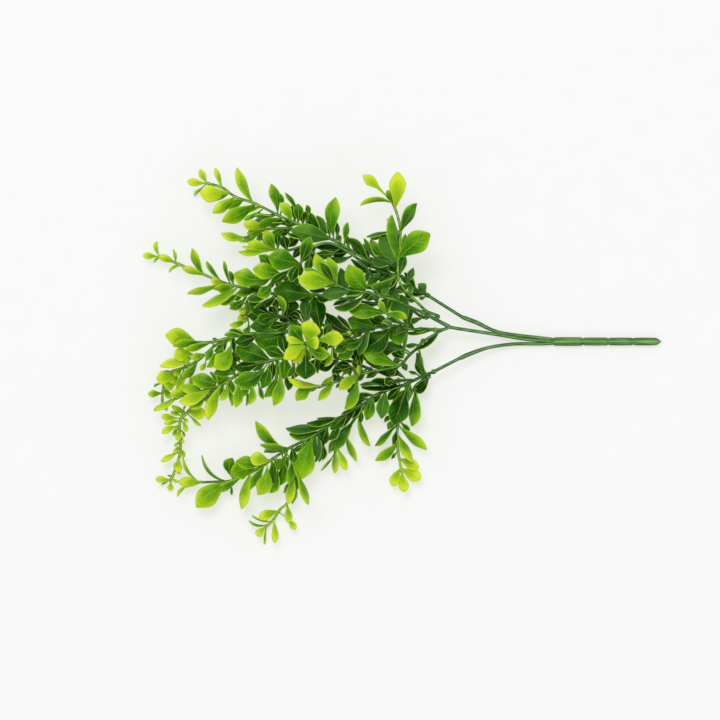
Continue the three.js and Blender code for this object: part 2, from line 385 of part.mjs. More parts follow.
// Every tenth leaf of a spray has an older one below it, turned aside and hanging.
const LOWER_LEAF_EVERY = 10;
const LOWER_LEAF_TURN = 0.5;      // radians
const LOWER_LEAF_LENGTH = 0.65;   // of the upper leaf's
const LOWER_LEAF_DROP = 13;
const LOWER_LEAF_FLOOR = 22;      // twigs lower than this have none
const SHORT_PETIOLE = 0.1;        // of these and of the whorls' leaves, as a share of the leaf
const GOLDEN_ANGLE = 2.39996;     // radians
const GOLDEN_RATIO = 0.618;
const WHORL_LEAF_LENGTH = 17;
const WHORL_LEAF_SPREAD = 0.3;    // lengths run from 0.85 to 1.15 of that
const WHORL_LEAN = 0.65;          // how far these leaves lean towards the twig's end

// The poses tried for a leaf, in this order, until it is clear of the other sprays.
const POSE_SIZES = [1, 0.85, 0.7];
const POSE_SLIDES = [0, 2.5, -2.5];
const POSE_LIFTS = [0, 3, -3, 6, -6, 10, -10, 15, -15];
const POSE_FLIPS = [1, -1];
const OWN_OVERLAP = 0.05;         // mm3 that a leaf may share with another of its own spray
const AXIS_OVERLAP = 6;           // mm3 of its root that may lie in its own twig

const GREENS = { old: 0x2f6a1c, young: 0x9cc51e, stalk: 0x5a8f4f };
const PLASTIC_ROUGHNESS = 0.42;
const JOIN_TOLERANCE = 0.03;      // edges shorter than this close up where pieces are fused
const TWIG_TOLERANCE = 0.1;       // a twig drops the rings that change its surface by less than this

// ---------------------------------------------------------------- closed solids

// A closed body through rings of points, with flat ends; a last ring of one point closes to a tip.
function loft(rings) {
  const positions = rings.flat().flatMap((p) => [p.x, p.y, p.z]);
  const starts = [];
  rings.reduce((start, ring) => {
    starts.push(start);
    return start + ring.length;
  }, 0);
  const faces = [];
  const cap = (ring, start, flip) => {
    for (let i = 1; i + 1 < ring.length; i += 1) {
      const fan = [start, start + i, start + i + 1];
      faces.push(...(flip ? fan.reverse() : fan));
    }
  };
  for (let r = 0; r + 1 < rings.length; r += 1) {
    const count = rings[r].length;
    for (let i = 0; i < count; i += 1) {
      const next = (i + 1) % count;
      const [a, b] = [starts[r] + i, starts[r] + next];
      if (rings[r + 1].length === 1) {
        faces.push(a, b, starts[r + 1]);
        continue;
      }
      const [c, d] = [starts[r + 1] + i, starts[r + 1] + next];
      faces.push(...(i % 2 ? [a, b, c, b, d, c] : [a, b, d, a, d, c]));
    }
  }
  cap(rings[0], starts[0], true);
  cap(rings.at(-1), starts.at(-1), false);
  return toSolid(positions, faces);
}

function toSolid(positions, faces) {
  const mesh = new library.Mesh({
    numProp: 3,
    vertProperties: new Float32Array(positions),
    triVerts: new Uint32Array(faces),
  });
  return new library.Manifold(mesh);
}

function toGeometry(solid) {
  const mesh = solid.getMesh();
  const geometry = new THREE.BufferGeometry();
  geometry.setAttribute('position', new THREE.BufferAttribute(mesh.vertProperties, 3));
  geometry.setIndex(new THREE.BufferAttribute(mesh.triVerts, 1));
  geometry.computeVertexNormals();
  return geometry;
}

// Fuses solids into one body. Only the largest shell stays, so sealed hollows fill and scraps drop.
function fuse(solids) {
  const shells = library.Manifold.union(solids).simplify(JOIN_TOLERANCE).decompose();
  return shells.reduce((best, shell) => (shell.volume() > best.volume() ? shell : best));
}

// ---------------------------------------------------------------- twigs

const UP = new THREE.Vector3(0, 0, 1);
const vector = ([x, y, z]) => new THREE.Vector3(x, y, z);

function ringRound(centre, along, radius, sides) {
  const side = new THREE.Vector3().crossVectors(UP, along).normalize();
  const top = new THREE.Vector3().crossVectors(along, side);
  const ring = [];
  for (let i = 0; i < sides; i += 1) {
    const angle = ((i + 0.5) / sides) * 2 * Math.PI;
    ring.push(centre.clone()
      .addScaledVector(side, radius * Math.cos(angle))
      .addScaledVector(top, radius * Math.sin(angle)));
  }
  return ring;
}

// A tube through points, each with its own radius. The rings stand across the path.
function tube(points, radii, sides) {
  const rings = points.map((point, i) => {
    const before = points[Math.max(i - 1, 0)];
    const after = points[Math.min(i + 1, points.length - 1)];
    return ringRound(point, after.clone().sub(before).normalize(), radii[i], sides);
  });
  return loft(rings);
}

// The distance along a path of its point nearest to a given one. Without depth only x and y count.
function nearestOnPath(path, point, withDepth) {
  let [best, nearest, travelled] = [Infinity, 0, 0];
  for (let i = 0; i + 1 < path.length; i += 1) {
    const step = path[i + 1].clone().sub(path[i]);
    const flatStep = step.clone().setZ(withDepth ? step.z : 0);
    const offset = point.clone().sub(path[i]);
    if (!withDepth) offset.setZ(0);
    const share = THREE.MathUtils.clamp(offset.dot(flatStep) / flatStep.lengthSq(), 0, 1);
    const distance = offset.distanceTo(flatStep.multiplyScalar(share));
    if (distance < best) [best, nearest] = [distance, travelled + share * step.length()];
    travelled += step.length();
  }
  return nearest;
}

function pathLength(path) {
  return path.slice(1).reduce((sum, point, i) => sum + point.distanceTo(path[i]), 0);
}

// The place and the direction at a distance along a path.
function pointOnPath(path, distance) {
  let left = distance;
  for (let i = 0; i + 1 < path.length; i += 1) {
    const step = path[i + 1].clone().sub(path[i]);
    const length = step.length();
    if (left <= length || i + 2 === path.length) {
      const along = step.divideScalar(length);
      return { place: path[i].clone().addScaledVector(along, left), along };
    }
    left -= length;
  }
  return null;
}

// A twig's path with its collar seated on the carrier: end to end, or standing on its side.
function seatedPath(spray, carrierPath, carrierRadius) {
  const path = spray.axis.map(vector);
  const seat = pointOnPath(carrierPath, nearestOnPath(carrierPath, path[0], true));
  const away = path[1].clone().sub(seat.place);
  let reach = SEAT_GAP;
  if (!spray.atEnd) {
    away.addScaledVector(seat.along, -away.dot(seat.along));
    reach += carrierRadius;
  } else {
    away.copy(seat.along);
  }
  away.normalize();
  const start = seat.place.clone().addScaledVector(away, reach);
  return [start, start.clone().addScaledVector(away, COLLAR_LENGTH), ...path.slice(1)];
}

function twig(path) {
  const radii = path.map((_, i) => THREE.MathUtils.lerp(TWIG_RADIUS, TWIG_END_RADIUS, i / (path.length - 1)));
  const collar = tube(path.slice(0, 2), [COLLAR_RADIUS, COLLAR_RADIUS], TWIG_SIDES + 1);
  return collar.add(tube(path, radii, TWIG_SIDES)).simplify(TWIG_TOLERANCE);
}

// ---------------------------------------------------------------- leaves

// The outline of the blade: an obovate leaf, widest at two thirds of its length.
function bladeWidth(share) {
  return Math.sin(Math.PI * share ** OUTLINE_SKEW) ** OUTLINE_FULLNESS;
}

// Where a leaf's root may sit on its twig: past the collar and inside the twig's end.
function rootDistance(path, distance) {
  return THREE.MathUtils.clamp(distance, COLLAR_LENGTH, pathLength(path) - ROOT_DEPTH);
}

// A leaf as read from above, with its root on the twig and the height of its tip.
function leafFromRow(row, index, path) {
  const [rootX, rootY, tipX, tipY, width, age, bow = 0] = row;
  const seen = new THREE.Vector3(rootX, rootY, 0);
  const tip = new THREE.Vector3(tipX, tipY, 0);
  const distance = rootDistance(path, nearestOnPath(path, seen, false));
  const { place } = pointOnPath(path, distance);
  const flatLength = Math.hypot(tipX - place.x, tipY - place.y);
  const bladeLength = seen.distanceTo(tip);
  const petiole = Math.hypot(rootX - place.x, rootY - place.y);
  const shortfall = Math.sqrt(Math.max(SHORTEST_LEAF ** 2 - flatLength ** 2, 0));
  const upOrDown = age > LEVEL_AGE ? 1 : -1;
  tip.z = place.z + RISE_BY_AGE * (age - LEVEL_AGE) * flatLength + SHORT_LEAF_SLOPE * upOrDown * shortfall;
  const nominal = Math.min(Math.max(width, LEAF_ASPECT * bladeLength), WIDEST_LEAF);
  return {
    path, distance, seen, tip, bow,
    width: Math.max(width, nominal),
    roll: Math.acos(Math.min(1, width / nominal)) * (index % 2 ? -1 : 1),
    bladeStart: Math.min(petiole / (petiole + bladeLength), LONGEST_PETIOLE),
  };
}

// The older leaf that hangs below another.
function lowerLeaf(upper, index) {
  const turn = LOWER_LEAF_TURN * (index % 2 ? 1 : -1);
  const { place } = pointOnPath(upper.path, upper.distance);
  const reach = upper.tip.clone().sub(place).setZ(0).multiplyScalar(LOWER_LEAF_LENGTH);
  reach.applyAxisAngle(UP, turn).setZ(-LOWER_LEAF_DROP);
  return straightLeaf(upper.path, upper.distance, reach, turn);
}

// A leaf that leaves its root straight, with the usual width for its length.
function straightLeaf(path, distance, reach, roll) {
  const seen = pointOnPath(path, distance).place;
  const width = Math.min(LEAF_ASPECT * reach.length(), WIDEST_LEAF);
  const tip = seen.clone().add(reach);
  return { path, distance, seen, tip, bow: 0, width, roll, bladeStart: SHORT_PETIOLE };
}

// Leaves set round a twig by the golden angle, pointing outwards and on towards its end.
function whorl(path, spacing) {
  const leaves = [];
  for (let i = 0; 2 * COLLAR_LENGTH + i * spacing < pathLength(path) + spacing / 2; i += 1) {
    const distance = rootDistance(path, 2 * COLLAR_LENGTH + i * spacing);
    const { along } = pointOnPath(path, distance);
    const side = new THREE.Vector3().crossVectors(UP, along).normalize();
    const outwards = side.applyAxisAngle(along, i * GOLDEN_ANGLE);
    const length = WHORL_LEAF_LENGTH * (1 + WHORL_LEAF_SPREAD * (((i * GOLDEN_RATIO) % 1) - 0.5));
    const reach = outwards.addScaledVector(along, WHORL_LEAN).setLength(length);
    leaves.push(straightLeaf(path, distance, reach, 0));
  }
  return leaves;
}

// The rings of a leaf in one pose: three corners each, left edge, midrib and right edge.
function leafRings(leaf, pose) {
  const root = pointOnPath(leaf.path, rootDistance(leaf.path, leaf.distance + pose.slide)).place;
  const tip = root.clone().lerp(leaf.tip, pose.size);
  tip.z += pose.lift;
  const chord = tip.clone().sub(root);
  const length = chord.length();
  const flat = chord.clone().setZ(0);
  const sideways = new THREE.Vector3(-flat.y, flat.x, 0).normalize();
  const offset = leaf.seen.clone().sub(root).dot(sideways);
  const widest = WIDEST_BEND * length;
  const bend = THREE.MathUtils.clamp(PETIOLE_BEND * offset, -widest, widest) + 2 * leaf.bow;
  const middle = root.clone().addScaledVector(chord, 0.5).addScaledVector(sideways, bend);
  middle.z += 2 * BLADE_ARCH * length;
  const centreLine = new THREE.QuadraticBezierCurve3(root, middle, tip);
  const shares = length > LARGE_LEAF ? LARGE_STATIONS : SMALL_STATIONS;
  const roll = leaf.roll * pose.flip;
  const rings = [leafRing(root, centreLine.getTangent(0), ROOT_SHARE * PETIOLE_WIDTH, roll,
    ROOT_SHARE * BLADE_THICKNESS)];
  for (const share of shares) {
    const station = leaf.bladeStart + share * (1 - leaf.bladeStart);
    const width = Math.max(leaf.width * pose.size * bladeWidth(share), PETIOLE_WIDTH);
    rings.push(leafRing(centreLine.getPoint(station), centreLine.getTangent(station), width, roll));
  }
  tip.z = Math.max(tip.z, 0);
  rings.push([tip]);
  return rings;
}

function leafRing(centre, along, width, roll, thickness = BLADE_THICKNESS) {
  const side = new THREE.Vector3().crossVectors(UP, along).normalize().applyAxisAngle(along, roll);
  const top = new THREE.Vector3().crossVectors(along, side);
  const corner = (across, above) => centre.clone().addScaledVector(side, across).addScaledVector(top, above);
  const ring = [
    corner(width / 2, -thickness / 3),
    corner(0, thickness * 2 / 3),
    corner(-width / 2, -thickness / 3),
  ];
  ring.forEach((point, i) => {
    point.z = Math.max(point.z, RESTING_HEIGHTS[i]);
  });
  return ring;
}

// ---------------------------------------------------------------- placing the leaves

const poses = POSE_SIZES.flatMap((size) => POSE_SLIDES.flatMap((slide) => POSE_LIFTS.flatMap((lift) => (
  POSE_FLIPS.map((flip) => ({ size, slide, lift, flip }))))));

const placed = [];                // every twig and leaf so far, with the name of its node

function keep(node, solid, isAxis) {
  const { min, max } = solid.boundingBox();
  const box = new THREE.Box3(vector(min), vector(max));
  placed.push({ node, solid, isAxis, box });
}

// Whether a solid keeps its distance from other nodes and, if asked, out of its own node's leaves.
function isClear(solid, node, alsoFromOwn) {
  const { min, max } = solid.boundingBox();
  const near = new THREE.Box3(vector(min), vector(max)).expandByScalar(CLEARANCE);
  return placed.every((other) => {
    if (!other.box.intersectsBox(near)) return true;
    if (other.node !== node) return solid.minGap(other.solid, CLEARANCE) >= CLEARANCE;
    if (!alsoFromOwn) return true;
    return solid.intersect(other.solid).volume() < (other.isAxis ? AXIS_OVERLAP : OWN_OVERLAP);
  });
}

// Keeps a leaf in its first clear pose. A leaf with none is left off.
function placeLeaf(leaf, node) {
  for (const alsoFromOwn of [true, false]) {
    for (const pose of poses) {
      const solid = loft(leafRings(leaf, pose));
      if (isClear(solid, node, alsoFromOwn)) {
        keep(node, solid, false);
        return;
      }
      solid.delete();
    }
  }
}

// ---------------------------------------------------------------- the stalk

// The segmented stalk, turned about its own axis, with a flat side of the first segment on the table.
function segmentedStalk() {
  const innerEnd = STALK_SEGMENTS[0][0] - STALK_SOCKET;
  const outline = [new THREE.Vector2(0, innerEnd)];
  const circumradius = (halfWidth) => halfWidth / Math.cos(Math.PI / STALK_SIDES);
  const addPoint = (x, halfWidth) => outline.push(new THREE.Vector2(circumradius(halfWidth), x));
  addPoint(innerEnd, STALK_SEGMENTS[0][2]);
  for (const [start, end, halfWidth] of STALK_SEGMENTS) {
    addPoint(start, STALK_NOTCH_RADIUS);
    addPoint(start + STALK_NOTCH_HALF, halfWidth);
    addPoint(end - STALK_NOTCH_HALF, halfWidth);
  }
  addPoint((STALK_SEGMENTS.at(-1)[1] + STALK_TIP) / 2, STALK_SHOULDER_RADIUS);
  addPoint(STALK_TIP, STALK_TIP_RADIUS);
  outline.push(new THREE.Vector2(0, STALK_TIP));
  const geometry = new THREE.LatheGeometry(outline, STALK_SIDES);
  geometry.rotateZ(-Math.PI / 2).rotateX(Math.PI / STALK_SIDES).translate(0, STALK_Y, STALK_SEGMENTS[0][2]);
  return solidFromGeometry(geometry);
}

function solidFromGeometry(geometry) {
  const position = geometry.getAttribute('position');
  const index = geometry.getIndex();
  const known = new Map();
  const positions = [];
  const vertex = (i) => {
    const point = [position.getX(i), position.getY(i), position.getZ(i)];
    const key = point.map((value) => Math.round(value * 1e4)).join();
    if (!known.has(key)) {
      known.set(key, known.size);
      positions.push(...point);
    }
    return known.get(key);
  };
  const faces = [];
  for (let i = 0; i < index.count; i += 3) {
    const corners = [0, 1, 2].map((j) => vertex(index.getX(i + j)));
    if (new Set(corners).size === 3) faces.push(...corners);
  }
  return toSolid(positions, faces);
}

function stem(points) {
  return tube(points.map(vector), points.map((point) => point[3]), STEM_SIDES);
}

// ---------------------------------------------------------------- assembly

function mesh(name, solid, colour) {
  const finish = { color: colour, roughness: PLASTIC_ROUGHNESS, metalness: 0 };
  const material = new THREE.MeshStandardMaterial(finish);
  const object = new THREE.Mesh(toGeometry(solid), material);
  object.name = name;
  return object;
}

const bunch = new THREE.Group();
bunch.name = 'mistletoe_bunch';

const stemSolids = Object.values(STEMS).map(stem);
const stalk = fuse([segmentedStalk(), ...stemSolids]);
keep('stalk', stalk, true);
bunch.add(mesh('stalk', stalk, GREENS.stalk));

const paths = {};
for (const [name, points] of Object.entries(STEMS)) paths[name] = points.map(vector);
for (const spray of SPRAYS) {
  const carrierRadius = spray.on in STEMS ? STEM_RADIUS : TWIG_RADIUS;
  paths[spray.name] = seatedPath(spray, paths[spray.on], carrierRadius);
  keep(spray.name, twig(paths[spray.name]), true);
}

// The leaves seen from above take their places first, the largest ones before the others, then the
// ones below them.
const upperLeaves = {};
for (const { name, leaves } of SPRAYS) {
  upperLeaves[name] = leaves.map((row, i) => leafFromRow(row, i, paths[name]));
}
Object.entries(upperLeaves)
  .flatMap(([name, leaves]) => leaves.map((leaf) => ({ name, leaf })))
  .sort((a, b) => b.leaf.width - a.leaf.width)
  .forEach(({ name, leaf }) => placeLeaf(leaf, name));
for (const { name, whorl: spacing } of SPRAYS) {
  const height = (leaf) => pointOnPath(leaf.path, leaf.distance).place.z;
  const hanging = upperLeaves[name].filter((leaf, i) => (
    i % LOWER_LEAF_EVERY === 1 && height(leaf) > LOWER_LEAF_FLOOR));
  const extra = [...hanging.map(lowerLeaf), ...(spacing ? whorl(paths[name], spacing) : [])];
  extra.forEach((leaf) => placeLeaf(leaf, name));
}

for (const spray of SPRAYS) {
  const solids = placed.filter((piece) => piece.node === spray.name).map((piece) => piece.solid);
  const ages = spray.leaves.map((row) => row[5]);
  const age = ages.length ? ages.reduce((sum, value) => sum + value) / ages.length : 0;
  const colour = new THREE.Color(GREENS.old).lerp(new THREE.Color(GREENS.young), age);
  bunch.add(mesh(spray.name, fuse(solids), colour));
}

// The origin: the middle of the whole bunch's box, on the table.
const box = new THREE.Box3().setFromObject(bunch);
bunch.position.set(-(box.min.x + box.max.x) / 2, -(box.min.y + box.max.y) / 2, -box.min.z);

export default bunch;
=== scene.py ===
"""Looks of an artificial mistletoe bunch that lies on a pale surface.

Each spray of the frame gets a finer piece with the same twig and the same leaves: a smooth round twig,
thin curved blades with a midrib, veins and a pale margin, and some more leaves that lie among the others.
The layout below is in millimetres, with its own origin in the middle of the foliage and +X towards the
stalk's end. Pieces are made in metres.
"""

import json
import math
import random
from collections import namedtuple

import bpy
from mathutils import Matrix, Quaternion, Vector
from mathutils.kdtree import KDTree


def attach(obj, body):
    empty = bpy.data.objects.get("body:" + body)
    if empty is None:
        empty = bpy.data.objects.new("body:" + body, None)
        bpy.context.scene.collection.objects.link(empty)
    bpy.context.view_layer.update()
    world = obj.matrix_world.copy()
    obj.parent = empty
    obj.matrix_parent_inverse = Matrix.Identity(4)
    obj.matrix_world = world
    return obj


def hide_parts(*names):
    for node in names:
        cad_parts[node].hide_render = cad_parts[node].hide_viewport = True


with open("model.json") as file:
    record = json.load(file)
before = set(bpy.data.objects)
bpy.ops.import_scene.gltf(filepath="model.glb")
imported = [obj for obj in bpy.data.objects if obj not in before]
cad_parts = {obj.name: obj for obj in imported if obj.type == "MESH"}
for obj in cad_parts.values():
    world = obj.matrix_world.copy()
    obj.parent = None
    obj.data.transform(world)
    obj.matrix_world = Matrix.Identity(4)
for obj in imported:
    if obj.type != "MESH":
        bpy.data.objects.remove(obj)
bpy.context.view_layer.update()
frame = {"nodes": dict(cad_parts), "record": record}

# ---------------------------------------------------------------- the frame's dimensions, millimetres

MM = 0.001
UP = Vector((0, 0, 1))

STALK_Y = 12.5
STALK_NOTCH_RADIUS = 2.1
STALK_NOTCH_HALF = 0.9  # half of the notch's length
STALK_SEGMENTS = [  # [start, end, half width]
    [130.7, 150.9, 2.9],
    [150.9, 168.1, 2.7],
    [168.1, 185.0, 2.6],
    [185.0, 200.0, 2.6],
]
STALK_TIP = 204.2

STEM_RADIUS = 1.5
TWIG_RADIUS = 1.3
TWIG_END_RADIUS = 1.1
COLLAR_RADIUS = 1.75
COLLAR_LENGTH = 2.4
SEAT_GAP = 0.35

BLADE_THICKNESS = 1.1
PETIOLE_WIDTH = 1.2
ROOT_DEPTH = 1.0  # leaves grow at least this far inside their twig's end
BLADE_ARCH = 0.1  # height over length
LONGEST_PETIOLE = 0.6  # as a share of the leaf
PETIOLE_BEND = 1.5
WIDEST_BEND = 0.35
OUTLINE_SKEW = 1.6  # over 1, the blade is widest past its middle
OUTLINE_FULLNESS = 0.52
LEAF_ASPECT = 0.44  # width over length; blades that look slimmer are rolled
WIDEST_LEAF = 15.5
SHORTEST_LEAF = 11  # leaves that look shorter stand up or hang down
SHORT_LEAF_SLOPE = 0.8
LEVEL_AGE = 0.4  # greener leaves droop, and limer ones rise
RISE_BY_AGE = 0.7
LARGE_LEAF = 18
LARGE_STATIONS = (0.36, 0.64, 0.9)  # where along a blade its corners are, as shares
SMALL_STATIONS = (0.48, 0.86)
RESTING_HEIGHTS = (0, 1.1, 0)  # no corner of a section is lower than these

LOWER_LEAF_EVERY = 10  # one leaf in so many has another below it
LOWER_LEAF_TURN = 0.5
LOWER_LEAF_LENGTH = 0.65
LOWER_LEAF_DROP = 13
LOWER_LEAF_FLOOR = 22  # only where the twig is higher than this
SHORT_PETIOLE = 0.1
GOLDEN_ANGLE = 2.39996
GOLDEN_RATIO = 0.618
WHORL_LEAF_LENGTH = 17
WHORL_LEAF_SPREAD = 0.3
WHORL_LEAN = 0.65

# A leaf of the frame is in one of these poses, whichever is free of its neighbours.
POSE_SIZES = (1, 0.85, 0.7)
POSE_SLIDES = (0, 2.5, -2.5)
POSE_LIFTS = (0, 3, -3, 6, -6, 10, -10, 15, -15)
POSE_FLIPS = (1, -1)

# ---------------------------------------------------------------- the fine pieces' own dimensions

SEED = 20
LEAF, TWIG = 0, 1  # the material slots of a spray
STALK = 0  # the stalk has one material only
TWIG_MARK = -1.0  # stands in the leaf coordinate "along" for all that is twig
MATCH_DISTANCE = 0.06  # a corner nearer than this to one of the frame's is the same corner
LEAST_MATCH = 0.3  # a leaf is in the frame where more than this share of its corners is
STALK_END_DEPTH = 0.5  # the corners this near to the stalk's end are those of its point

FINE_TWIG = 0.78  # the round twig's radius over the frame's cornered one
FINE_STEM = 0.78
PINCH = 0.5  # how much the stems narrow at the stalk's first notch
TWIG_SPACING = 1.5  # between the rings of a twig
TWIG_FINE_SIDES = 12
STEM_FINE_SIDES = 16
COLLAR_FINE_SIDES = 20
STALK_FINE_SIDES = 40
SWELLING = 0.14  # millimetres that a twig is thicker where a leaf grows from it
SWELLING_LENGTH = 1.2
DOME = (0.6, 0.7, 0.9)  # a tube's end: its shoulder's place and radius, and its height, over the radius
COLLAR_PROFILE = [  # (share of the length, share of the radius)
    (0, 0.75), (0.08, 0.93), (0.3, 0.97), (0.55, 0.9), (0.85, 0.97), (0.97, 0.85), (1.02, 0.6),
]
SEGMENT_STEPS = 24
SEGMENT_BULGE = 0.035  # of its radius, in the middle of a segment
NOTCH_ROUNDING = 1.3  # how far a notch's edge is rounded, over the notch's half length
STALK_OVERLAP = 1.0  # the stalk starts this far inside its stems, a little slimmer
STALK_START_WIDTH = 0.96
TIP_STEPS = 12
TIP_BLUNTNESS = 1.4

FINE_BLADE_THICKNESS = 0.55
FINE_PETIOLE_THICKNESS = 1.0
FINE_PETIOLE_WIDTH = 0.85 * PETIOLE_WIDTH
RIM_BLEND = 2.5  # the petiole flattens out over this much of extra width
ROUND_EDGE = 2  # the power of the section's outline: 2 is an ellipse, more is squarer
SQUARE_EDGE = 8
PETIOLE_RINGS = 3
BLADE_RINGS = 11  # the tip is the last of these
TOP_ACROSS = (1, 0.93, 0.78, 0.52, 0.26, 0, -0.26, -0.52, -0.78, -0.93, -1)
UNDER_ACROSS = (-0.8, -0.4, 0, 0.4, 0.8)
BLADE_SPREAD = 1.05
LOWEST_TIP = 0.3
LOWEST_ALONG = -0.5  # the leaf coordinate "along" at a petiole's start, well above TWIG_MARK
TIP_START = 0.55  # where along a blade it starts to get narrower towards its point
LEAST_POINTED = 0.4
POINTEDNESS = 0.4
SHORT_BLADE = 17
SHORT_ROUNDNESS = 0.8  # young leaves that are short end round
CROWN_RISE = 0.2  # millimetres that the midrib is raised
CROWN_DROOP = 0.5  # millimetres from there down to the edges
CROWN_POWER = 1.6
FOLD_SHARE = 0.11  # of the blade's width, as the cup and the waves
FOLD_LEVEL = 0.45
CUP_SHARE = 0.08
CUP_LEVEL = 0.35
WAVE_SHARE = 0.04
LEAST_WAVE = 0.3
WAVES_ALONG = 7
WAVES_ACROSS = 2

# ---------------------------------------------------------------- the looks of leaves and twigs

DEEPEST_GREEN = (50, 80)  # where in the layout; leaves and twigs get paler away from there
OUTER_START = 110
OUTER_SPAN = 90
OUTER_RIPENESS = 0.16
EXTRA_BLOOM_SHEEN_CENTRE = (18, 58)  # where in the layout the old leaves have most of their bloom, a painted greyish sheen
EXTRA_BLOOM_SHEEN_REACH = (30, 44)  # in x and y
EXTRA_BLOOM_SHEEN = 0.5
LOWER_LEAF_AGE = 0.1
WHORL_AGE = 0.12

MIDDLE_TONE = 0.5  # makes a piece neither darker nor paler
LEAF_STOPS = [
    (0.0, "083000"),
    (0.12, "174e00"),
    (0.3, "428202"),
    (0.5, "7eb00a"),
    (0.7, "accc1c"),
    (1.0, "d6e22c"),
]
TIPWARDS = (0.38, 1.0)  # where along a blade it gets paler
EDGEWARDS = (0.3, 1.0)  # where across it
LEAST_RIPENESS = 0.37
BLADE_START = (0.02, 0.2)  # where along a leaf the rim and the veins set in
VEINS = 7
VEIN_SLANT = 2.2
VEIN_CREST = (0.6, 1.0)  # the part of a sine wave that shows as a vein
VEIN_END = (1.0, 0.4)  # where across a blade its veins are gone, and where they are whole
RIM = "a4d038"
RIM_WIDTH = 0.62  # millimetres, as the midrib's
MIDRIB_WIDTH = 0.3
MIDRIB_END = (0.95, 0.5)  # where along a blade its midrib is gone, and where it is whole
LINE_CORE = 0.4  # the share of a rim's or a midrib's width that has its full colour
# The bloom is painted sheen: the dull grey-green reflection of glossy leaves, put into the colour of some
# old leaves.
BLOOM_SHEEN = "4e7e3e"
BLOOM_SHEEN_TONES = (0.7, 0.9)
BLOOM_SHEEN_AGES = (0.4, 0.2)
BLOOM_SHEEN_EDGE = (1.0, 0.6)
MOST_BLOOM_SHEEN = 0.5
LEAF_MOTTLE_SCALE = 140
LEAF_GRAIN_SCALE = 900
LEAF_ROUGHNESS = 0.3
LEAF_RELIEF = 0.22  # millimetres
LEAF_SURFACE = {
    "Specular IOR Level": 0.2,
    "Specular Tint": (0.85, 1, 0.5, 1),
    "Subsurface Weight": 0.3,
    "Subsurface Radius": (0.6, 1.0, 0.1),
    "Subsurface Scale": 1.2 * MM,
}

TWIG_STOPS = [(0.0, "1c4c0e"), (0.35, "34701a"), (0.65, "6c9e26"), (0.95, "aaca3a")]
STALK_STOPS = [(0.0, "2a5420"), (0.25, "3e6e2c"), (0.55, "60914b"), (1.0, "8cb874")]
STALK_SHADE = 0.62
STEM_DARKENING = 0.2  # from the stalk to a stem's end
TWIG_SIDE_SHADE = (0.4, 0.9)  # where across a twig the painted shade on its sides sets in, as shares of its half width
# where across a twig its painted highlight along the middle is gone, and where it is whole
TOP_HIGHLIGHT = (0.3, 0.0)
STALK_GROOVING = 1.0
GROOVE_PLACE = 0.42
GROOVE_WIDTH = 0.12
STREAK_SCALE = 600
STREAK_STRETCH = (0.12, 1.0, 1.0)  # makes the streaks run along the stalk
TWIG_MOTTLE_SCALE = 220
TWIG_ROUGHNESS = 0.42
TWIG_RELIEF = 0.25
TWIG_SURFACE = {"Specular IOR Level": 0.25}

# ---------------------------------------------------------------- the layout

# The stems, as [x, y, z, radius]. Each ends where the first collar is pushed onto it.
STEMS = {
    "upper": [[133, 13.9, 3.2, 1.6], [122, 15.0, 3.6, 1.5], [94.5, 18.7, 7, 1.5], [78.8, 25.3, 10, 1.9],
        [71, 28.3, 12, 1.9], [67, 30.3, 13, 1.4], [46.9, 42.8, 20, 1.4]],
    "middle": [[133, 12.5, 4.2, 1.6], [113.8, 13.8, 6.2, 1.5], [94.5, 16.9, 9, 1.5], [63.2, 21.7, 15, 1.5],
        [59.4, 23, 16, 1.8], [52, 26.8, 20, 1.6], [43.5, 31.3, 24, 1.4]],
    "left": [[61, 22.4, 15.6, 1.4], [56, 20.5, 17.2, 1.4], [52, 20.4, 18.6, 1.4]],
    "low_left": [[56, 20.5, 17.2, 1.3], [50, 17, 16.6, 1.2], [44, 13.6, 17.2, 1.2]],
    "lower": [[133, 11.6, 3.0, 1.6], [122, 10.9, 3.4, 1.5], [104, 10.8, 5, 1.5], [87.1, 8.4, 8, 1.5],
        [75, 4.4, 10.2, 1.9], [69, 1.8, 11.2, 1.9], [65.5, 0.2, 11.8, 1.4], [51.1, -7.2, 14, 1.4]],
}

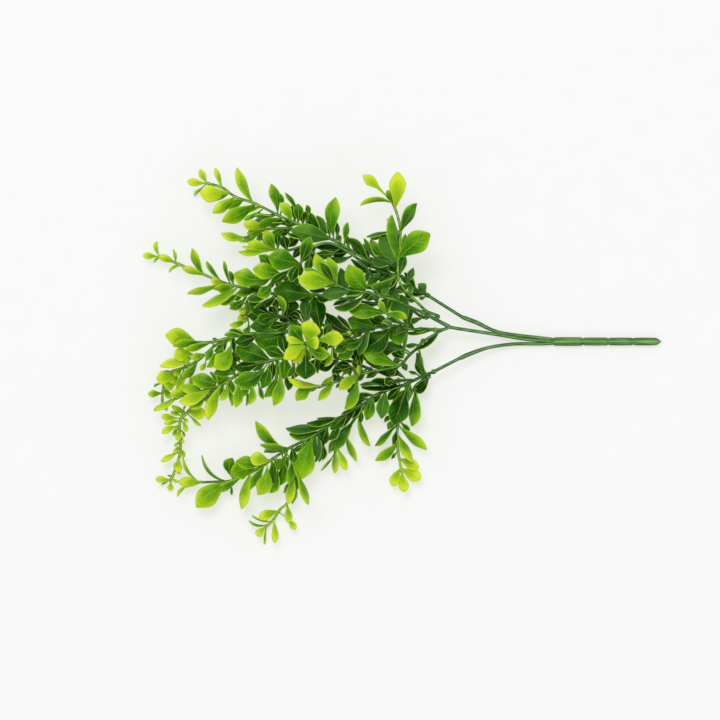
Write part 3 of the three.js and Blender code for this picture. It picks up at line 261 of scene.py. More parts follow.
# A leaf's row: its root's x and y, its tip's x and y, the width seen, its age, and then, where they
# are given, how far it bows aside and the age that its colour shows. Age runs from 0, deep green, to
# 1, lime. A spray's axis is its twig's line, in x, y and height.
SPRAYS = [
    {
        "name": "spray_top_long", "on": "upper", "at_end": True,
        "axis": [
            [46.9, 42.8, 20], [40, 46, 24], [34, 50, 28], [28, 56, 31], [15, 59, 35], [8, 64, 36],
            [0, 70, 36.5], [-9, 75.5, 37], [-19, 81, 37], [-30, 86.5, 36.5], [-42, 91.5, 35.5],
            [-56, 97.8, 33], [-70, 105, 29], [-84, 110, 24], [-93, 116.3, 20], [-104, 119.6, 15],
        ],
        "leaves": [
            [-105, 119, -116.3, 120.4, 5.2, 0.95], [-104, 120, -108.3, 129, 4.8, 0.85],
            [-106.3, 117, -112.2, 111, 2.2, 0.7], [-89.5, 113, -107.8, 113, 11.5, 0.85, 1],
            [-93.5, 117, -97.5, 129.3, 3.6, 0.8, -0.5], [-84.3, 109.8, -99.3, 99, 7.5, 0.8, 1],
            [-71.5, 107, -82.5, 129.3, 7, 0.75, 1.5], [-70.3, 104, -92.8, 93, 9.8, 0.6, 0.5],
            [-54, 100.5, -59.8, 118.4, 7.5, 0.55], [-44, 92.5, -53.3, 105.3, 7, 0.8],
            [-41, 99, -50.5, 112.2, 3.5, 0.35], [-34, 96.5, -35.7, 104.2, 4, 0.35],
            [-19, 81.5, -46.3, 87, 13, 0.45, 0, 0.3], [-14.5, 84, -16.2, 109.2, 10, 0.5, 4.5],
            [-22, 82.5, -29, 97, 6, 0.15], [-26, 84, -37, 100, 7, 0.2],
            [-9.5, 78.5, -8.4, 92.4, 4.5, 0.4, 0.5], [6, 66, -7.5, 82, 7, 0.3],
            [-12.5, 79, -16, 84.3, 4, 0.2], [-57, 95.3, -71.5, 97.3, 3, 0.4],
            [-58, 96.5, -69.8, 99.3, 1.8, 0.25], [47, 42.5, 39.5, 51.3, 7, 0.25],
            [44, 43.5, 34, 46, 4, 0.15], [38, 47, 30, 59, 5, 0.15], [35, 49, 27.5, 57.5, 4, 0.2],
            [36, 45, 31, 41, 5, 0.1], [20, 60, 12, 66.5, 6, 0.1], [22, 56, 10, 45, 8, 0.1],
            [25, 52, 17, 40, 5, 0.1], [34, 50, 24, 47.5, 5, 0.15], [14, 59, 5, 50, 6, 0.2],
            [22, 58, 4, 69, 3.5, 0.1], [16, 56, -2, 64, 3.5, 0.1], [10, 56, -6, 68, 3.5, 0.15],
            [-41, 93, -42, 105, 7, 0.3], [-10, 74, -30, 76, 6, 0.12], [-5, 68, -20, 69, 5, 0.12],
        ],
    },
    {
        "name": "spray_top_side", "on": "spray_top_long",
        "axis": [
            [-37, 89.5, 36], [-43, 87.5, 31], [-50, 88.5, 29], [-63, 88, 27], [-70, 84.8, 25],
            [-78, 82.3, 23],
        ],
        "leaves": [
            [-77, 82.3, -93.4, 85.2, 6.2, 0.85, 0.7], [-62.5, 88.5, -78.3, 91.3, 7, 0.85],
            [-64.5, 87.5, -76, 85, 6.5, 0.5], [-63, 87, -67.5, 80.5, 4, 0.3],
            [-50, 88.5, -60, 83.5, 5, 0.3], [-45, 91.5, -62, 91.5, 5, 0.3], [-66, 83.5, -82, 80.5, 3, 0.5],
            [-40, 86, -49, 76, 7, 0.12],
        ],
    },
    {
        "name": "spray_crown_left", "on": "spray_top_long",
        "axis": [
            [21, 57.7, 33], [18, 53, 39], [9, 56, 45], [3, 63, 49], [-3, 69, 51], [-10, 73.5, 52],
            [-20, 78, 53], [-30, 76.3, 53], [-37, 70, 52], [-40, 64.5, 51], [-47, 60, 49], [-55, 57, 46],
            [-63, 54, 43],
        ],
        "leaves": [
            [-40, 64, -61.3, 69.3, 14.5, 0.55, 0, 0.4], [-39.5, 65.5, -33, 82.5, 8.5, 0.4],
            [-15, 71, -29.5, 71.5, 6.5, 0.1], [-53, 57.5, -71.8, 61, 11.5, 0.6],
            [-66, 52, -84, 58.5, 12.5, 0.55], [-58, 62, -67.8, 70, 7.5, 0.35],
            [-62, 52.5, -65.8, 58, 3, 0.95], [-61, 52.5, -62.5, 57, 2.5, 0.8],
            [-57, 50.5, -68.7, 43.2, 8.5, 0.45], [-47, 60, -60, 51, 6, 0.25], [-41, 66, -46, 52, 7, 0.15],
            [-32, 70, -37, 60, 6, 0.15],
        ],
    },
    {
        "name": "spray_crown_side", "on": "spray_crown_left",
        "axis": [
            [-33, 74, 52.5], [-37.5, 76.5, 48], [-48, 73.5, 45], [-58, 74, 41],
        ],
        "leaves": [
            [-57.5, 74.5, -63.7, 86.8, 8, 0.65], [-60, 74.3, -75.5, 78.5, 6.8, 0.8],
            [-64, 72.8, -81.5, 72.3, 4.6, 0.6], [-49, 73.5, -51.5, 83.3, 7.5, 0.15],
            [-38, 80.5, -49, 84.5, 3, 0.1],
        ],
    },
    {
        "name": "spray_upright", "on": "middle",
        "axis": [
            [50.5, 27.6, 20.8], [48, 31.5, 25], [44, 33.5, 28], [36, 41, 35], [30, 47, 40], [26, 54, 43.5],
            [25.3, 64, 45], [26.3, 76, 44], [27, 88, 41], [24.5, 99, 37], [21.5, 106.5, 33],
        ],
        "leaves": [
            [24.2, 102, 25.3, 126.3, 11, 0.95], [22, 105, 18.3, 114, 5, 0.6], [13, 115.5, 1.8, 124, 7, 0.9],
            [20.3, 106, 0.2, 103.8, 3.2, 0.75, -2], [28.3, 85, 38, 105.2, 8, 0.3, 1.5],
            [27, 67.5, 47, 84.5, 15, 0.5, 2], [25.6, 66, 21.3, 97.2, 7.8, 0.35], [25, 78, 18.8, 95, 4, 0.4],
            [21, 86.5, 4.3, 82.6, 3.2, 0.25], [24.7, 64.5, 14.5, 85, 12.5, 0.2],
            [14, 66, 7.3, 81.3, 7.5, 0.5], [10, 66.5, 2.8, 81.8, 3.8, 0.15], [27, 66, 30.5, 84.5, 4, 0.3],
            [25.3, 57.5, 4.2, 48, 4.6, 0.35, 3],
        ],
    },
    {
        "name": "spray_bright_top", "on": "middle", "at_end": True,
        "axis": [
            [43.5, 31.3, 24], [34, 35.5, 33], [24, 40, 43], [14, 42.5, 51], [6.5, 45, 56], [-6, 46.7, 61],
            [-13, 49, 64], [-19, 52, 66],
        ],
        "leaves": [
            [-18, 51, -41.2, 54.5, 12.5, 0.95, 0, 0.72], [-21, 53.5, -29.5, 71.3, 8, 0.85, 0, 0.72],
            [-15, 51, -21.5, 68.5, 8, 0.7, 0, 0.6], [-18, 53, -26.5, 65.5, 6, 0.25],
            [6.5, 45, -7.5, 63.8, 13, 0.6, 2, 0.5], [5, 41.5, -17.2, 35, 6, 0.15],
            [-5.8, 46.5, -25.7, 43.5, 9, 0.2], [2, 42.5, -10, 42, 2.5, 0.3],
        ],
    },
    {
        "name": "spray_middle_long", "on": "middle",
        "axis": [
            [46.5, 29.7, 22.5], [41, 29.5, 19], [30, 36, 23], [10, 38, 27], [-10, 41, 29], [-33, 44, 30],
            [-50, 43.5, 29], [-66, 46, 27], [-78, 48.5, 25], [-90, 51.5, 22], [-98, 54.5, 19.5],
            [-105, 57.5, 17], [-115, 61.5, 14], [-124, 65.5, 11], [-136, 70, 7.5],
        ],
        "leaves": [
            [-137, 70, -146.7, 70.6, 4.6, 0.9], [-135.5, 71, -137.3, 80.2, 3.2, 0.85, 1.5],
            [-136.5, 69.3, -139.2, 65.5, 2, 0.6], [-124.5, 65.8, -136.3, 69.8, 4.8, 0.75],
            [-124.3, 66, -125.8, 74.8, 1.8, 0.7], [-120.5, 63.5, -128.8, 59, 1.8, 0.75, -1.5],
            [-105, 57, -119.7, 61.8, 5.2, 0.75], [-105, 58.5, -113, 75.4, 6, 0.6, 2],
            [-93, 54.5, -103.3, 66.5, 3.6, 0.5, 1.5], [-86.5, 52.5, -91.7, 66.6, 3.2, 0.4, 1.5],
            [-92, 50.5, -99.5, 55.3, 5, 0.85], [-93, 49.8, -116.4, 44.7, 4.8, 0.6],
            [-82, 47.5, -106.2, 36.6, 7, 0.65], [-32, 44.5, -58.2, 47, 15, 0.25],
            [-76, 41, -88, 34.5, 6, 0.3], [-57, 42, -71.5, 34.8, 3.2, 0.1],
            [-55.5, 42.8, -65.7, 35.3, 3, 0.1], [-66, 48, -84, 44, 6, 0.4], [-80, 45, -95, 38, 5, 0.4],
            [-10, 41, -13, 62, 9, 0.15], [-86, 50, -99, 48, 5, 0.5], [14, 43, 2, 41.5, 5, 0.15],
            [-16, 49, -34, 46.5, 5, 0.2], [-60, 46, -76, 50, 4, 0.4], [-60, 43, -76, 41, 4, 0.3],
            [43, 29, 31, 24, 4, 0.15],
        ],
    },
    {
        "name": "twig_middle_hanging", "on": "spray_middle_long",
        "axis": [
            [-70, 46.9, 26.3], [-73, 43, 22], [-76, 40, 19], [-77, 33, 14], [-76, 27, 10],
        ],
        "leaves": [
            [-76, 37, -80.5, 31, 4.5, 0.9], [-75, 30, -79.5, 26.5, 4.5, 0.85],
            [-75, 27, -88, 23.8, 4.2, 0.75], [-78, 38.5, -88, 36.5, 3, 0.8], [-77, 33, -82, 26, 4, 0.85],
            [-70, 25, -79, 17.5, 4.5, 0.5],
        ],
    },
    {
        "name": "spray_inner_main", "on": "left", "at_end": True,
        "axis": [
            [52, 20.4, 18.6], [45, 21, 21], [37, 20.6, 24], [31, 21.5, 26.5], [24, 23, 29], [12, 22, 32],
            [0, 20, 34], [-6, 18.5, 36],
        ],
        "leaves": [
            [33, 20.5, 19.5, 15.5, 14, 0.35], [33.5, 28, 20, 42.5, 13.5, 0.25],
            [11, 21.5, -8.3, 27.5, 12, 0.35], [50, 21.3, 36, 20.3, 4, 0.3],
            [22, 20, 2.5, 7.5, 15, 0.3, 0, 0.15], [6, 14, -12.8, 11, 8, 0.3],
            [-6.5, 18.5, -23, 32, 8, 0.08, 2], [0.5, 8.5, -15.2, 2, 8.5, 0.35], [5, 21, -0.5, 3, 7, 0.2],
            [-6, 12, -20, 3, 8, 0.3], [50, 19.5, 31, 18.5, 2.5, 0.15], [20, 25, 9, 29, 5, 0.15],
            [29, 24, 19, 28, 4, 0.15],
        ],
    },
    {
        "name": "spray_inner_small", "on": "spray_inner_main",
        "axis": [
            [30, 21.7, 27], [27.5, 25, 33], [22.5, 28.5, 43], [17, 31.7, 52],
        ],
        "leaves": [
            [16.3, 31.7, -8.2, 33.8, 10, 0.4], [16.5, 32.3, 13, 39.8, 4.5, 0.55],
            [17.5, 32, 31.5, 28, 5.5, 0.6], [17.5, 27, 22, 23, 3.5, 0.15], [17.5, 27, 15, 24.5, 2, 0.3],
            [17.5, 33, 20, 34.5, 3, 0.6],
        ],
    },
    {
        "name": "spray_inner_left", "on": "spray_inner_main",
        "axis": [
            [9, 21.5, 32.5], [6, 20, 27], [-5, 18, 24], [-20, 18.5, 24], [-32, 22, 26], [-45, 24.5, 27],
            [-50, 29, 28], [-60, 30, 27],
        ],
        "leaves": [
            [-26.5, 21, -31, 42.7, 12.5, 0.2], [-49.5, 30, -47, 42.5, 14, 0.15],
            [-50, 29.5, -55.3, 43.2, 4.5, 0.5], [-52, 28, -62.7, 31.5, 7.5, 0.15],
            [-37, 28, -47.5, 30.5, 6, 0.1], [-36, 27, -37.5, 42, 8, 0.1], [-48, 17, -71, 14.5, 15.5, 0.3],
            [-58, 30, -69, 26, 8, 0.15], [-60, 30, -75, 38, 9, 0.15], [-60, 29, -76, 30, 9, 0.12],
            [-55, 27, -74, 22.5, 10, 0.15], [-55, 33, -59, 42, 5, 0.15], [-49, 24, -62, 23.5, 6, 0.15],
        ],
    },
    {
        "name": "rosette_top", "on": "spray_inner_main", "at_end": True,
        "axis": [
            [-6, 18.5, 36], [-12, 17, 42], [-22, 14, 51], [-30, 12, 58], [-37, 11, 64],
        ],
        "leaves": [
            [-36, 13, -30.5, 25, 13.5, 0.8], [-36, 11.3, -27.2, 11.5, 9, 0.9],
            [-38, 11.3, -49.3, 14.8, 5, 0.9], [-38.5, 9.5, -50.8, 0.5, 9, 0.8], [-35.5, 8, -45, -2, 7, 0.9],
            [-35, 7, -20, 4, 9, 0.55], [-38.5, 13, -46, 22.5, 10, 0.45], [-40, 10, -52.8, 9, 7, 0.75],
            [-29, 14, -11, 13.8, 10.5, 0.85], [-36, 1, -36.5, -12.7, 14, 0.15],
            [-17.5, 5, -23.7, -4.4, 4, 0.75],
        ],
    },
    {
        "name": "spray_left", "on": "spray_inner_left",
        "axis": [
            [-44, 24.3, 27], [-47, 19, 31], [-60, 18, 35], [-72, 18, 36], [-80, 16.5, 35], [-92, 14, 32],
            [-100, 12, 29], [-111, 12, 25],
        ],
        "leaves": [
            [-111, 12, -131, 16.5, 12, 0.65, -1], [-79, 16.5, -91.2, 17, 3.8, 0.3],
            [-95, 13.5, -99.5, 14.3, 2.5, 0.3], [-85, 7.5, -98, -5, 13, 0.65, 0, 0.5],
            [-88, 12, -98, 6, 6, 0.2], [-100, 11, -118, 6.5, 5, 0.4], [-90, 10, -103, -5, 7, 0.4],
            [-68, 16, -84, 12, 9, 0.15], [-108, 12, -126, 9.5, 6, 0.5],
        ],
    },
    {
        "name": "spray_left_drooping", "on": "spray_left",
        "axis": [
            [-88, 14.8, 33], [-92, 12.5, 28], [-98, 9.5, 25], [-104, 4, 22], [-112, -2, 19],
            [-120, -5.5, 16], [-128, -8.5, 13], [-132, -15, 10], [-133.5, -22, 7.5], [-133.8, -29, 5],
        ],
        "leaves": [
            [-112.5, 7.5, -125.2, 1, 9.5, 0.75], [-114, 0, -134.8, -4.4, 6.5, 0.8],
            [-115.5, -6, -122.7, -14.3, 4.6, 0.55], [-124, -9.5, -137.3, -12, 9.5, 0.7],
            [-127, -7, -134.7, -9.2, 2.6, 0.35], [-134, -15, -139.5, -18.2, 1.6, 0.3],
            [-127, -13, -131, -19.5, 7, 0.6], [-100, -2, -107.6, -6.7, 3.6, 0.7],
            [-134.3, -22.5, -143.2, -23, 5, 0.6], [-133.3, -29.5, -139.4, -34, 2.8, 0.8],
            [-133, -30, -130.6, -34.2, 3.2, 0.8], [-114.5, -10, -113, -19.5, 3, 0.7],
            [-118, -7, -124, -20, 5, 0.5], [-108, -2, -120, -12, 6, 0.4], [-104, 4, -114, 1, 5, 0.6],
            [-124, -7, -126, -18, 5, 0.55],
        ],
    },
    {
        "name": "spray_lower_left", "on": "spray_inner_main",
        "axis": [
            [-3, 19.3, 35], [-7, 14, 33], [-20, 9, 34], [-35, 6, 36], [-50, 2, 37], [-62, -1, 36.5],
            [-74, -4, 35], [-84, -11, 32], [-94, -17, 29], [-105, -20.5, 25], [-120, -24.5, 20],
            [-133, -29.8, 16],
        ],
        "leaves": [
            [-94, -17, -113.8, -12, 10.5, 0.4], [-92.5, -18, -102, -40.3, 8, 0.7, -1.5],
            [-99, -20.5, -121.7, -28, 8.5, 0.65], [-59.5, -9, -84.7, -14.5, 12.5, 0.35],
            [-50, 1.5, -51.5, -12.5, 11, 0.35], [-52, -11, -58, -30.7, 8.5, 0.5],
            [-54, -10.5, -64.5, -25, 7, 0.4], [-68, -16.5, -65, -26.6, 3.5, 0.3],
            [-72, -16, -74, -30, 5, 0.6], [-81, -16, -83.5, -32, 7, 0.6], [-88, -17, -94, -27, 5, 0.7],
            [-97.5, -24.5, -104, -28.2, 1.5, 0.3], [-44, -6, -48.2, -20.6, 2.6, 0.1],
            [-43, -2.5, -48.7, -11.3, 4.5, 0.2], [-66, -3, -85, -5, 8, 0.12], [-88, -9, -95, -16, 9, 0.35],
            [-60, 1, -84.5, 7.5, 14, 0.1, 0, 0.3], [-84, -8, -98, -9, 8, 0.2],
            [-105, -20.5, -122, -18, 7, 0.5], [-112, -22, -128, -24, 6, 0.6],
            [-124, -26, -137.5, -33.5, 4, 0.7], [-76, 3, -88, 2, 8, 0.15], [-50, 3, -64, 7, 8, 0.15],
            [-60, -4, -66, -19, 8, 0.2], [-101, -26, -115, -32, 5, 0.6],
        ],
    },
    {
        "name": "spray_hanging_left", "on": "spray_lower_left",
        "axis": [
            [-103, -19.9, 25.7], [-105, -24, 21], [-112, -30, 17], [-117, -36, 14], [-121, -39.5, 12.5],
            [-122, -45, 11], [-121.5, -52, 10], [-121.3, -58, 9], [-122, -64.5, 8], [-124.5, -72, 6.5],
            [-126.5, -78, 5.5], [-128.5, -82, 4.5],
        ],
        "leaves": [
            [-116, -35, -104.2, -36.6, 8, 0.85], [-114.5, -38, -107.4, -44.4, 1.8, 0.6],
            [-124.5, -39, -134, -38.3, 4.6, 0.85], [-120.5, -35, -127.8, -35.5, 1.6, 0.6],
            [-119.5, -34.5, -118, -31, 1.6, 0.2], [-120.5, -36, -122.8, -32.3, 2.2, 0.7],
            [-124.5, -44, -133.6, -49.6, 4.6, 0.85], [-123.3, -46, -125.8, -51.3, 3, 0.5],
            [-119.3, -41, -117.3, -48.6, 3.6, 0.7], [-119.8, -47, -119, -52.2, 2.2, 0.5],
            [-122, -46.5, -122.7, -54.5, 4, 0.9], [-121.5, -55, -125, -58.3, 2.6, 0.85],
            [-123.5, -62, -134.5, -68.6, 3.8, 0.85], [-123, -65.5, -122.3, -76.2, 5, 0.85],
            [-120.8, -60, -118.3, -65.3, 2.4, 0.5], [-129, -81, -138, -80.6, 4.6, 0.9],
            [-128, -83, -128.6, -88.6, 4.2, 0.85], [-130.5, -82.3, -134.5, -84.3, 1.2, 0.3],
            [-126.3, -78.5, -130.2, -78.3, 1.6, 0.4], [-127, -80.5, -123, -82.5, 2.5, 0.8],
            [-117, -36, -127, -31, 4, 0.6], [-122, -41, -132, -43, 4, 0.8],
        ],
    },
    {
        "name": "spray_lower_inner", "on": "low_left", "at_end": True,
        "axis": [
            [44, 13.6, 17.2], [40, 9.5, 18.5], [33, 3, 20], [26, -4, 23], [11, -7, 26], [0, -9.5, 29],
            [-10, -12.5, 31], [-19, -15.5, 33], [-28, -18.3, 34],
        ],
        "leaves": [
            [-30, -18, -48.3, -12.3, 5, 0.9], [-31.5, -18.5, -42.8, -27.5, 8.5, 0.6, -1],
            [-17, -13.5, -28, -27.3, 5.8, 0.65], [-27, -17.5, -18, -11, 3.5, 0.75],
            [-1, -9.3, -14, -19.8, 8, 0.65], [-12, -14, -16.3, -18.7, 2.6, 0.1],
            [-0.5, -14, -10.2, -33.3, 8, 0.45], [0.5, 8.3, -1.5, -9, 5.6, 0.6],
            [25.5, -3.5, 1.2, 6.8, 10, 0.5], [-17, -0.5, -5, -6.3, 8.5, 0.2],
            [-18, 0.5, -18.8, -8.2, 3, 0.1], [-3, 6, -5, 0.5, 3, 0.1], [28, 0.5, 22.3, -2, 5, 0.2],
            [28.5, -1, 31.5, -7, 4.5, 0.25], [40, 10.5, 30.5, 9.5, 3.5, 0.2],
            [28.5, -1.5, 30.8, 21, 2.4, 0.5], [28, 9.5, 11, 2.5, 6.5, 0.2], [31, 8, 16, 11, 6, 0.2],
            [29, -7, 18, -8, 5, 0.15], [14, -7, 4, -12, 4, 0.1], [-3, -1.5, -16, -4, 6, 0.15],
            [14, 4, 0, 3, 8, 0.15],
        ],
    },
    {
        "name": "spray_lower_long", "on": "lower", "at_end": True,
        "axis": [
            [51.1, -7.2, 14], [44, -10, 15], [38, -13, 16], [28, -17.5, 17.5], [18, -20.5, 18.5],
            [10, -24, 19], [2, -30, 19], [-5, -34, 19], [-14, -39, 19], [-22, -45, 19], [-30, -50, 19],
            [-38, -54.5, 18.5], [-47, -59, 18], [-55, -64, 17], [-63, -69.5, 16], [-72, -75, 14.5],
            [-80, -79, 13], [-88, -81.8, 11.5], [-96, -82.2, 10], [-104, -82.6, 8.5], [-110, -82.5, 7.5],
        ],
        "leaves": [
            [-109, -83, -123.5, -82, 7.2, 0.8], [-118, -84.5, -123.5, -92.3, 2.8, 0.8],
            [-89, -84, -110.5, -99.5, 14, 0.6, -2.3, 0.56], [-90, -83, -106.7, -64.2, 1.8, 0.4, 4],
            [-109, -80.5, -119.7, -65, 1.8, 0.6, 3], [-87, -84.5, -86.8, -91.5, 2, 0.2],
            [-86.5, -76.5, -86, -66.3, 9, 0.25, 2], [-70.5, -73.5, -87.2, -79, 12, 0.3, -2],
            [-60, -68.5, -74, -65.5, 9.5, 0.7], [-51, -58.5, -70.4, -41.3, 7.5, 0.5, 4],
            [-46, -61, -67.3, -57, 5.2, 0.4], [-45, -66.5, -59.7, -72, 8, 0.35],
            [-60.5, -73.5, -69, -91, 11, 0.5], [-51, -77, -60.8, -90, 5, 0.3],
            [-72.5, -77.5, -79.8, -100.6, 7.5, 0.65, -2.5], [-30, -54.5, -40.5, -80.7, 14.5, 0.5, -2.5],
            [-46, -58, -44, -70, 6, 0.2], [-66, -70.5, -84, -68.5, 9, 0.4], [-50, -67, -55, -85, 7, 0.25],
            [-8, -36, -20, -47, 8, 0.15], [-3, -33, -14, -40, 6, 0.1], [26, -15, 6, -16.5, 5, 0.12],
            [-12, -42, -22, -54, 6, 0.15], [-64, -71, -75, -88, 6, 0.3], [-27, -50, -30, -69, 5, 0.1],
            [-44, -64, -47.5, -85, 6, 0.3], [28, -18, 18, -27, 6, 0.2], [-2, -33, -14, -46, 3, 0.15],
            [-36, -56, -46, -61, 4, 0.15], [-40, -78, -34.8, -97.3, 5.6, 0.5, -0.4],
            [-21, -43, -50, -46.2, 6.5, 0.2, 1.5], [-27, -49, -47.8, -50, 8, 0.2],
            [-14.5, -39.5, -36, -42.8, 4.5, 0.15], [-24, -56, -27.8, -69, 4, 0.05],
            [-22.5, -57, -25.3, -68, 3, 0.1], [10.5, -23, -4.2, -25, 3.8, 0.25],
            [2, -28.3, -9.2, -33.2, 3, 0.1], [17, -20.3, 14.5, -39.7, 9, 0.25],
            [9, -25, 4.5, -40.7, 7.5, 0.3], [37.5, -12.3, 15, -16.8, 3.2, 0.2],
            [32, -18, 0.8, -18, 4, 0.15], [36, -18.5, 21.3, -29.7, 10.5, 0.35],
            [35, -21, 22.8, -44, 14, 0.35, -3, 0.25], [25.5, -6.5, 16.5, -16, 6.5, 0.15],
            [27.5, -8, 24.5, -15.5, 4, 0.2],
        ],
    },
    {
        "name": "spray_lower_right", "on": "spray_lower_long",
        "axis": [
            [46, -9.2, 14.7], [43.5, -13, 11], [38, -17, 10], [34, -24, 10], [29, -34, 9.5], [26, -42, 9],
            [25, -51, 8], [25.5, -60, 7], [27, -69, 6], [28.5, -77, 5],
        ],
        "leaves": [
            [40, -20, 35, -44.8, 8.2, 0.5, -1.5], [51, -9.5, 37, -21, 5, 0.2, 1],
            [22.5, -43, 10.2, -58.3, 4.8, 0.3, 1.5], [25.3, -56, 10.2, -68, 7, 0.55, 1.5],
            [28.5, -44, 45.2, -60.6, 6.5, 0.6, -2.5], [25.8, -50, 35.6, -69.3, 6.5, 0.7],
            [27, -66.5, 39.7, -73.6, 7, 0.85], [28, -73.5, 41, -80.6, 8, 0.9],
            [26.3, -73, 22.7, -85.5, 7, 0.92], [28, -76, 30.4, -89.2, 6.8, 0.92],
            [25, -62, 21.5, -67, 2.5, 0.1], [43.5, -10, 38.5, 5, 5, 0.2, 0.5],
            [40, -10, 32.8, -7.8, 2.6, 0.2],
        ],
    },
    {
        "name": "spray_lower_side", "on": "spray_lower_long",
        "axis": [
            [4, -28.5, 19], [2, -33, 15], [-3, -39, 13], [-8.5, -47, 11.5], [-14, -56, 10], [-17, -63, 8.5],
        ],
        "leaves": [
            [-5, -41, -19.3, -61.5, 8.5, 0.2], [0, -38, 6.7, -58.3, 5, 0.5, -1.5],
            [-9.3, -50, -2.4, -68.6, 4.6, 0.5, -1.5], [-14.3, -60, -9.4, -74.3, 5.4, 0.8],
            [-16.8, -64, -17, -76.5, 4.6, 0.6], [-17.5, -65, -26.4, -74.9, 1.3, 0.3],
            [-15.5, -50, -20.8, -63.3, 3.8, 0.4],
        ],
    },
    {
        "name": "spray_lower_tail", "on": "spray_lower_long",
        "axis": [
            [-33, -51.7, 18.8], [-36, -56, 15], [-41, -66, 13.5], [-44, -77, 12], [-47, -88, 10],
            [-49, -96.5, 8.5], [-54, -101, 7.5], [-59, -108.5, 6], [-64, -113, 5],
        ],
        "leaves": [
            [-45, -79, -48.8, -97.6, 6.8, 0.65], [-42.8, -81, -45.8, -97.2, 4.2, 0.4],
            [-55.5, -101.5, -68.3, -107.2, 6.8, 0.8], [-60, -109, -73.2, -105.2, 1.2, 0.5, 1.5],
            [-62, -112, -75.2, -108.6, 1.2, 0.5, 1.5], [-48.8, -98, -48, -110.3, 5.2, 0.7],
            [-47.5, -108, -43.9, -114.7, 4.6, 0.85], [-64.3, -113, -69.7, -118.8, 5.4, 0.85],
            [-63.9, -113.8, -64.8, -125, 1.5, 0.7], [-57.3, -109, -57.6, -123.6, 4.7, 0.8],
        ],
    },
    {
        "name": "under_centre", "on": "spray_lower_inner", "whorl": 7.5,
        "axis": [
            [8, -7.6, 26.8], [4, -5, 20], [-6, -1, 14], [-20, 2, 11], [-35, 2, 10],
        ],
        "leaves": [],
    },
    {
        "name": "under_left", "on": "spray_inner_left", "whorl": 7.5,
        "axis": [
            [-20, 18.5, 24], [-24, 23, 18], [-34, 30, 13], [-46, 34, 11], [-56, 34, 10],
        ],
        "leaves": [],
    },
]

